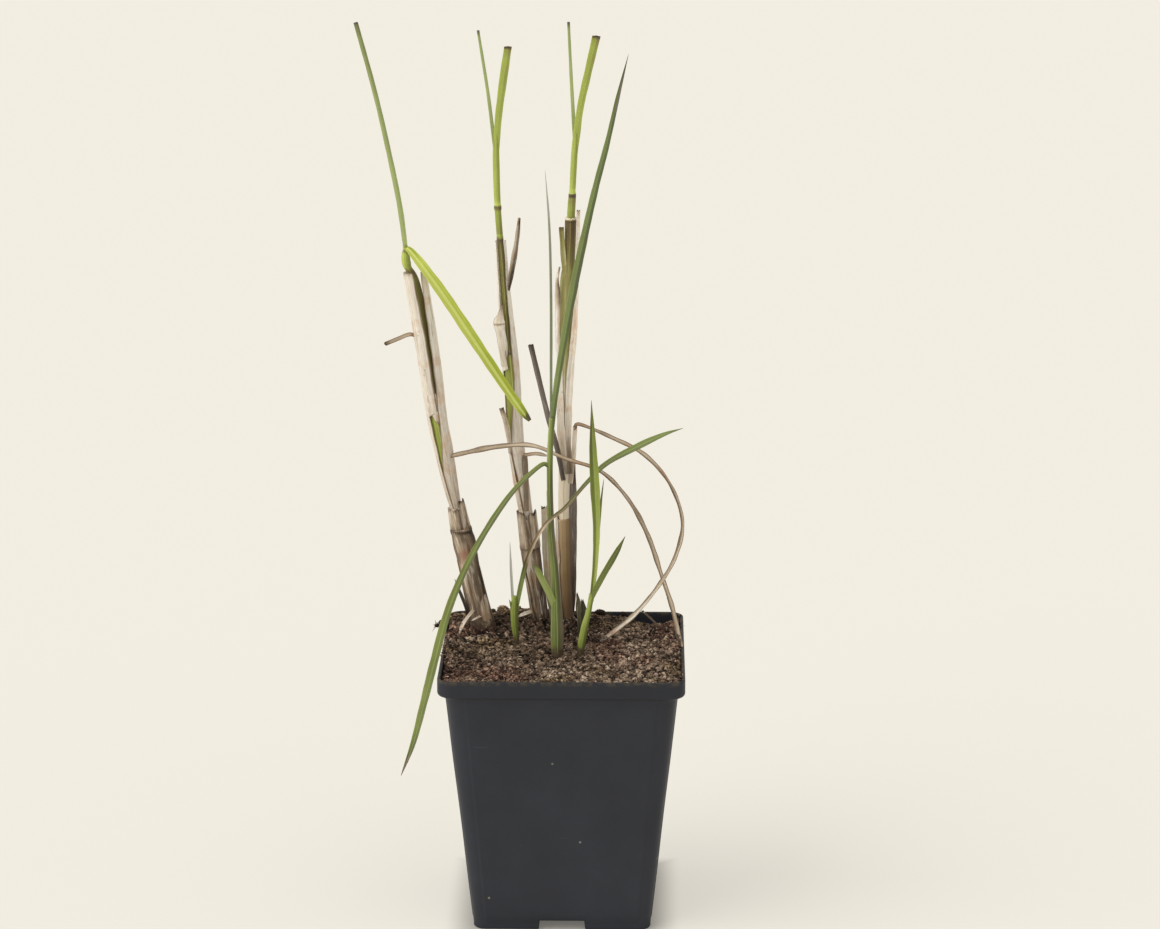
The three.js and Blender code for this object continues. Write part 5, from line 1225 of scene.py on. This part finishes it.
# The middle shoot's husk
# The papery grey sheath of the bud that the shoot broke from, left standing beside its stem.
grey_husk = straw("grey_husk", [(0.1, (56, 54, 34)), (0.4, (104, 98, 70)), (0.7, (158, 148, 124)),
    (0.95, (204, 194, 172))])
fix(leaf("middle_shoot_husk", [(-2.4, -6.2, 96, 1.6), (-2.8, -5.6, 105, 2.2), (-3.8, -4.8, 114, 2.6),
    (-5.2, -3.8, 124, 2.9), (-6.1, -2.8, 136, 3.1), (-6.6, -1.9, 154, 3)], grey_husk,
    at_share((0, 0.25), (0.3, 0.5), (0.7, 0.72), (1, 0.9)), ragged=0.9, seed=47), "husk_grey",
    "shoot_middle_husk")

# The left shoot
# A small shoot whose first leaves have barely opened: a grey needle tip, a lobe, and a long blade that
# crosses to the right, folded, dry and tan at first and green beyond.
fresh_green = living("fresh_green", [(0.14, (122, 104, 74)), (0.3, (80, 84, 40)), (0.5, (102, 112, 44)),
    (0.7, (132, 144, 60)), (0.9, (164, 174, 88))], (168, 178, 100), 0.08)
fix(stalk("left_shoot_stem", [(-17, 4, 90, 0.7), (-17.5, 4, 100, 0.8), (-18.2, 4, 107, 1.2),
    (-18.3, 4, 114, 1.3), (-18, 3.8, 118, 0.9)], fresh_green, at_height((99, 0.34), (105, 0.5), (112, 0.6),
    (118, 0.64), left=0.14), rows=80, columns=20, lap=0.2, seed=48), "leaf_green", "shoot_left")
fix(leaf("left_shoot_needle", [(-18.7, 4.4, 112, 1), (-19.5, 5, 125.5, 1), (-20, 6, 138.5, 0.6)], grey_green,
    at_share((0, 0.7), (0.2, 0.3), (0.6, 0.2), (1, 0.15)), tip=0.3, seed=49), "leaf_green")
fix(leaf("left_shoot_lobe", [(-18.8, 3.7, 111.5, 1.2), (-20.2, 3, 117, 0.7)], fresh_green,
    at_share((0, 0.7), (1, 0.5)), tip=0.4, seed=50), "leaf_green")
crossing = living("crossing_blade", [(0.15, (158, 138, 112)), (0.3, (112, 94, 66)), (0.45, (88, 80, 48)),
    (0.65, (94, 106, 50)), (0.9, (126, 138, 76))], (160, 158, 104), 0.08, cut_edge=(206, 190, 166))
fix(leaf("left_shoot_blade", [(-17.8, 3.7, 112.5, 1.6), (-15.6, 2.6, 124, 1.8), (-12.5, 0, 136, 1.5),
    (-6.5, -6.3, 148.5, 1.4), (1, -9.4, 156, 1.4), (8.5, -9.3, 165, 1.5), (16, -8.9, 172.5, 2),
    (28, -9, 179.3, 2.4), (37, -9, 183.6, 1.9), (44, -9, 186, 0.8)], crossing,
    at_share((0, 0.95), (0.12, 0.9), (0.17, 0.5), (0.21, 0.24), (0.27, 0.2), (0.36, 0.14), (0.42, 0.3),
    (0.54, 0.42), (0.62, 0.66), (0.75, 0.72), (0.92, 0.8), (1, 0.5), left=0.1), facing=(0, -0.85, 0.5),
    tip=0.12, seed=51), "leaf_green")

# The right shoot
# A shoot of three blades, the brightest of the clump, with two dry husks of its bud at its foot.
fix(stalk("right_shoot_stem", [(6, -8.5, 90, 1), (6.6, -8.6, 100.5, 1.2), (8, -9, 109.5, 1.15),
    (9.6, -9, 116, 0.85), (10.7, -9, 123, 0.7)], fresh_green, at_height((99, 0.4), (106, 0.62), (115, 0.68),
    (122, 0.74), left=0.2), rows=80, columns=22, lap=0.25, seed=52), "leaf_green", "shoot_right")
fix(leaf("right_shoot_wide_blade", [(10.4, -9, 119.5, 1.4), (11.8, -9.8, 133, 1.9), (12.4, -11, 148, 2.6),
    (11.9, -12.4, 163.5, 3.4), (11.2, -13.1, 177, 2.8), (10.5, -13.5, 197.5, 0.7)], fresh_green,
    at_share((0, 0.74), (0.3, 0.74), (0.6, 0.64), (0.85, 0.45), (1, 0.2), left=-0.14), tip=0.15, seed=53),
    "leaf_green")
fix(leaf("right_shoot_thin_blade", [(10.8, -8.7, 120, 1), (12.4, -8.2, 140, 1.2), (13.7, -8, 155, 1.1),
    (15, -7.8, 166.5, 0.7)], fresh_green, at_share((0, 0.6), (0.7, 0.5), (1, 0.3)), tip=0.3, seed=54),
    "leaf_green")
fix(leaf("right_shoot_side_blade", [(10.2, -9.2, 120.5, 1.6), (14.2, -11, 129.5, 2.2),
    (19, -12.3, 138.5, 2.1), (23, -14, 146.5, 0.8)], leaf_green, at_share((0, 0.7), (0.5, 0.5), (0.85, 0.45),
    (1, 0.3), left=0.12), tip=0.2, seed=55), "leaf_green")
fix(leaf("right_shoot_husk", [(6.4, -6, 97, 1.7), (6.4, -5.9, 108, 2), (6.2, -5.7, 114, 2.2),
    (5.8, -5.5, 118, 1.6), (5.2, -5.3, 121.3, 0.6)], grey_husk, at_share((0, 0.15), (0.5, 0.3), (1, 0.24)),
    ragged=1.6, ripple=0.15, seed=56), "husk_grey", "shoot_right_husk")
fix(leaf("right_shoot_dark_husk", [(6.6, -6.6, 104, 1.3), (7.2, -6.3, 111, 1.7), (7.6, -6, 115.5, 1.9),
    (7.2, -5.8, 119, 0.6)], grey_husk, at_share((0, 0.16), (0.5, 0.1), (1, 0.06)), ragged=1.4, ripple=0.15,
    seed=57), "husk_grey")

# The fallen straw
# A few short ends of straw, pruned from the clump, that lie on the peat behind the shoots.
fallen = [
    ("fallen_straw", [(29.3, 42.4, 101, 0.9), (32.5, 35.5, 100, 1), (36, 28, 98.8, 0.7)]),
    ("fallen_twig", [(0.4, 33, 103.4, 0.6), (3, 28, 103, 0.7), (6.2, 21.5, 101.6, 0.5)]),
    ("fallen_husk", [(6.6, 27, 104, 0.5), (7.2, 24, 103.4, 0.7), (6, 19, 101, 0.5)]),
]
for number, (name, route) in enumerate(fallen):
    fix(leaf(name, route, dry, at_share((0, 1.05), (1, 1.1)), facing=(0, -0.3, 0.95), thick=0.4, fold=0.3,
        ragged=0.4, rib=0.1, seed=70 + number), "dry_straw")
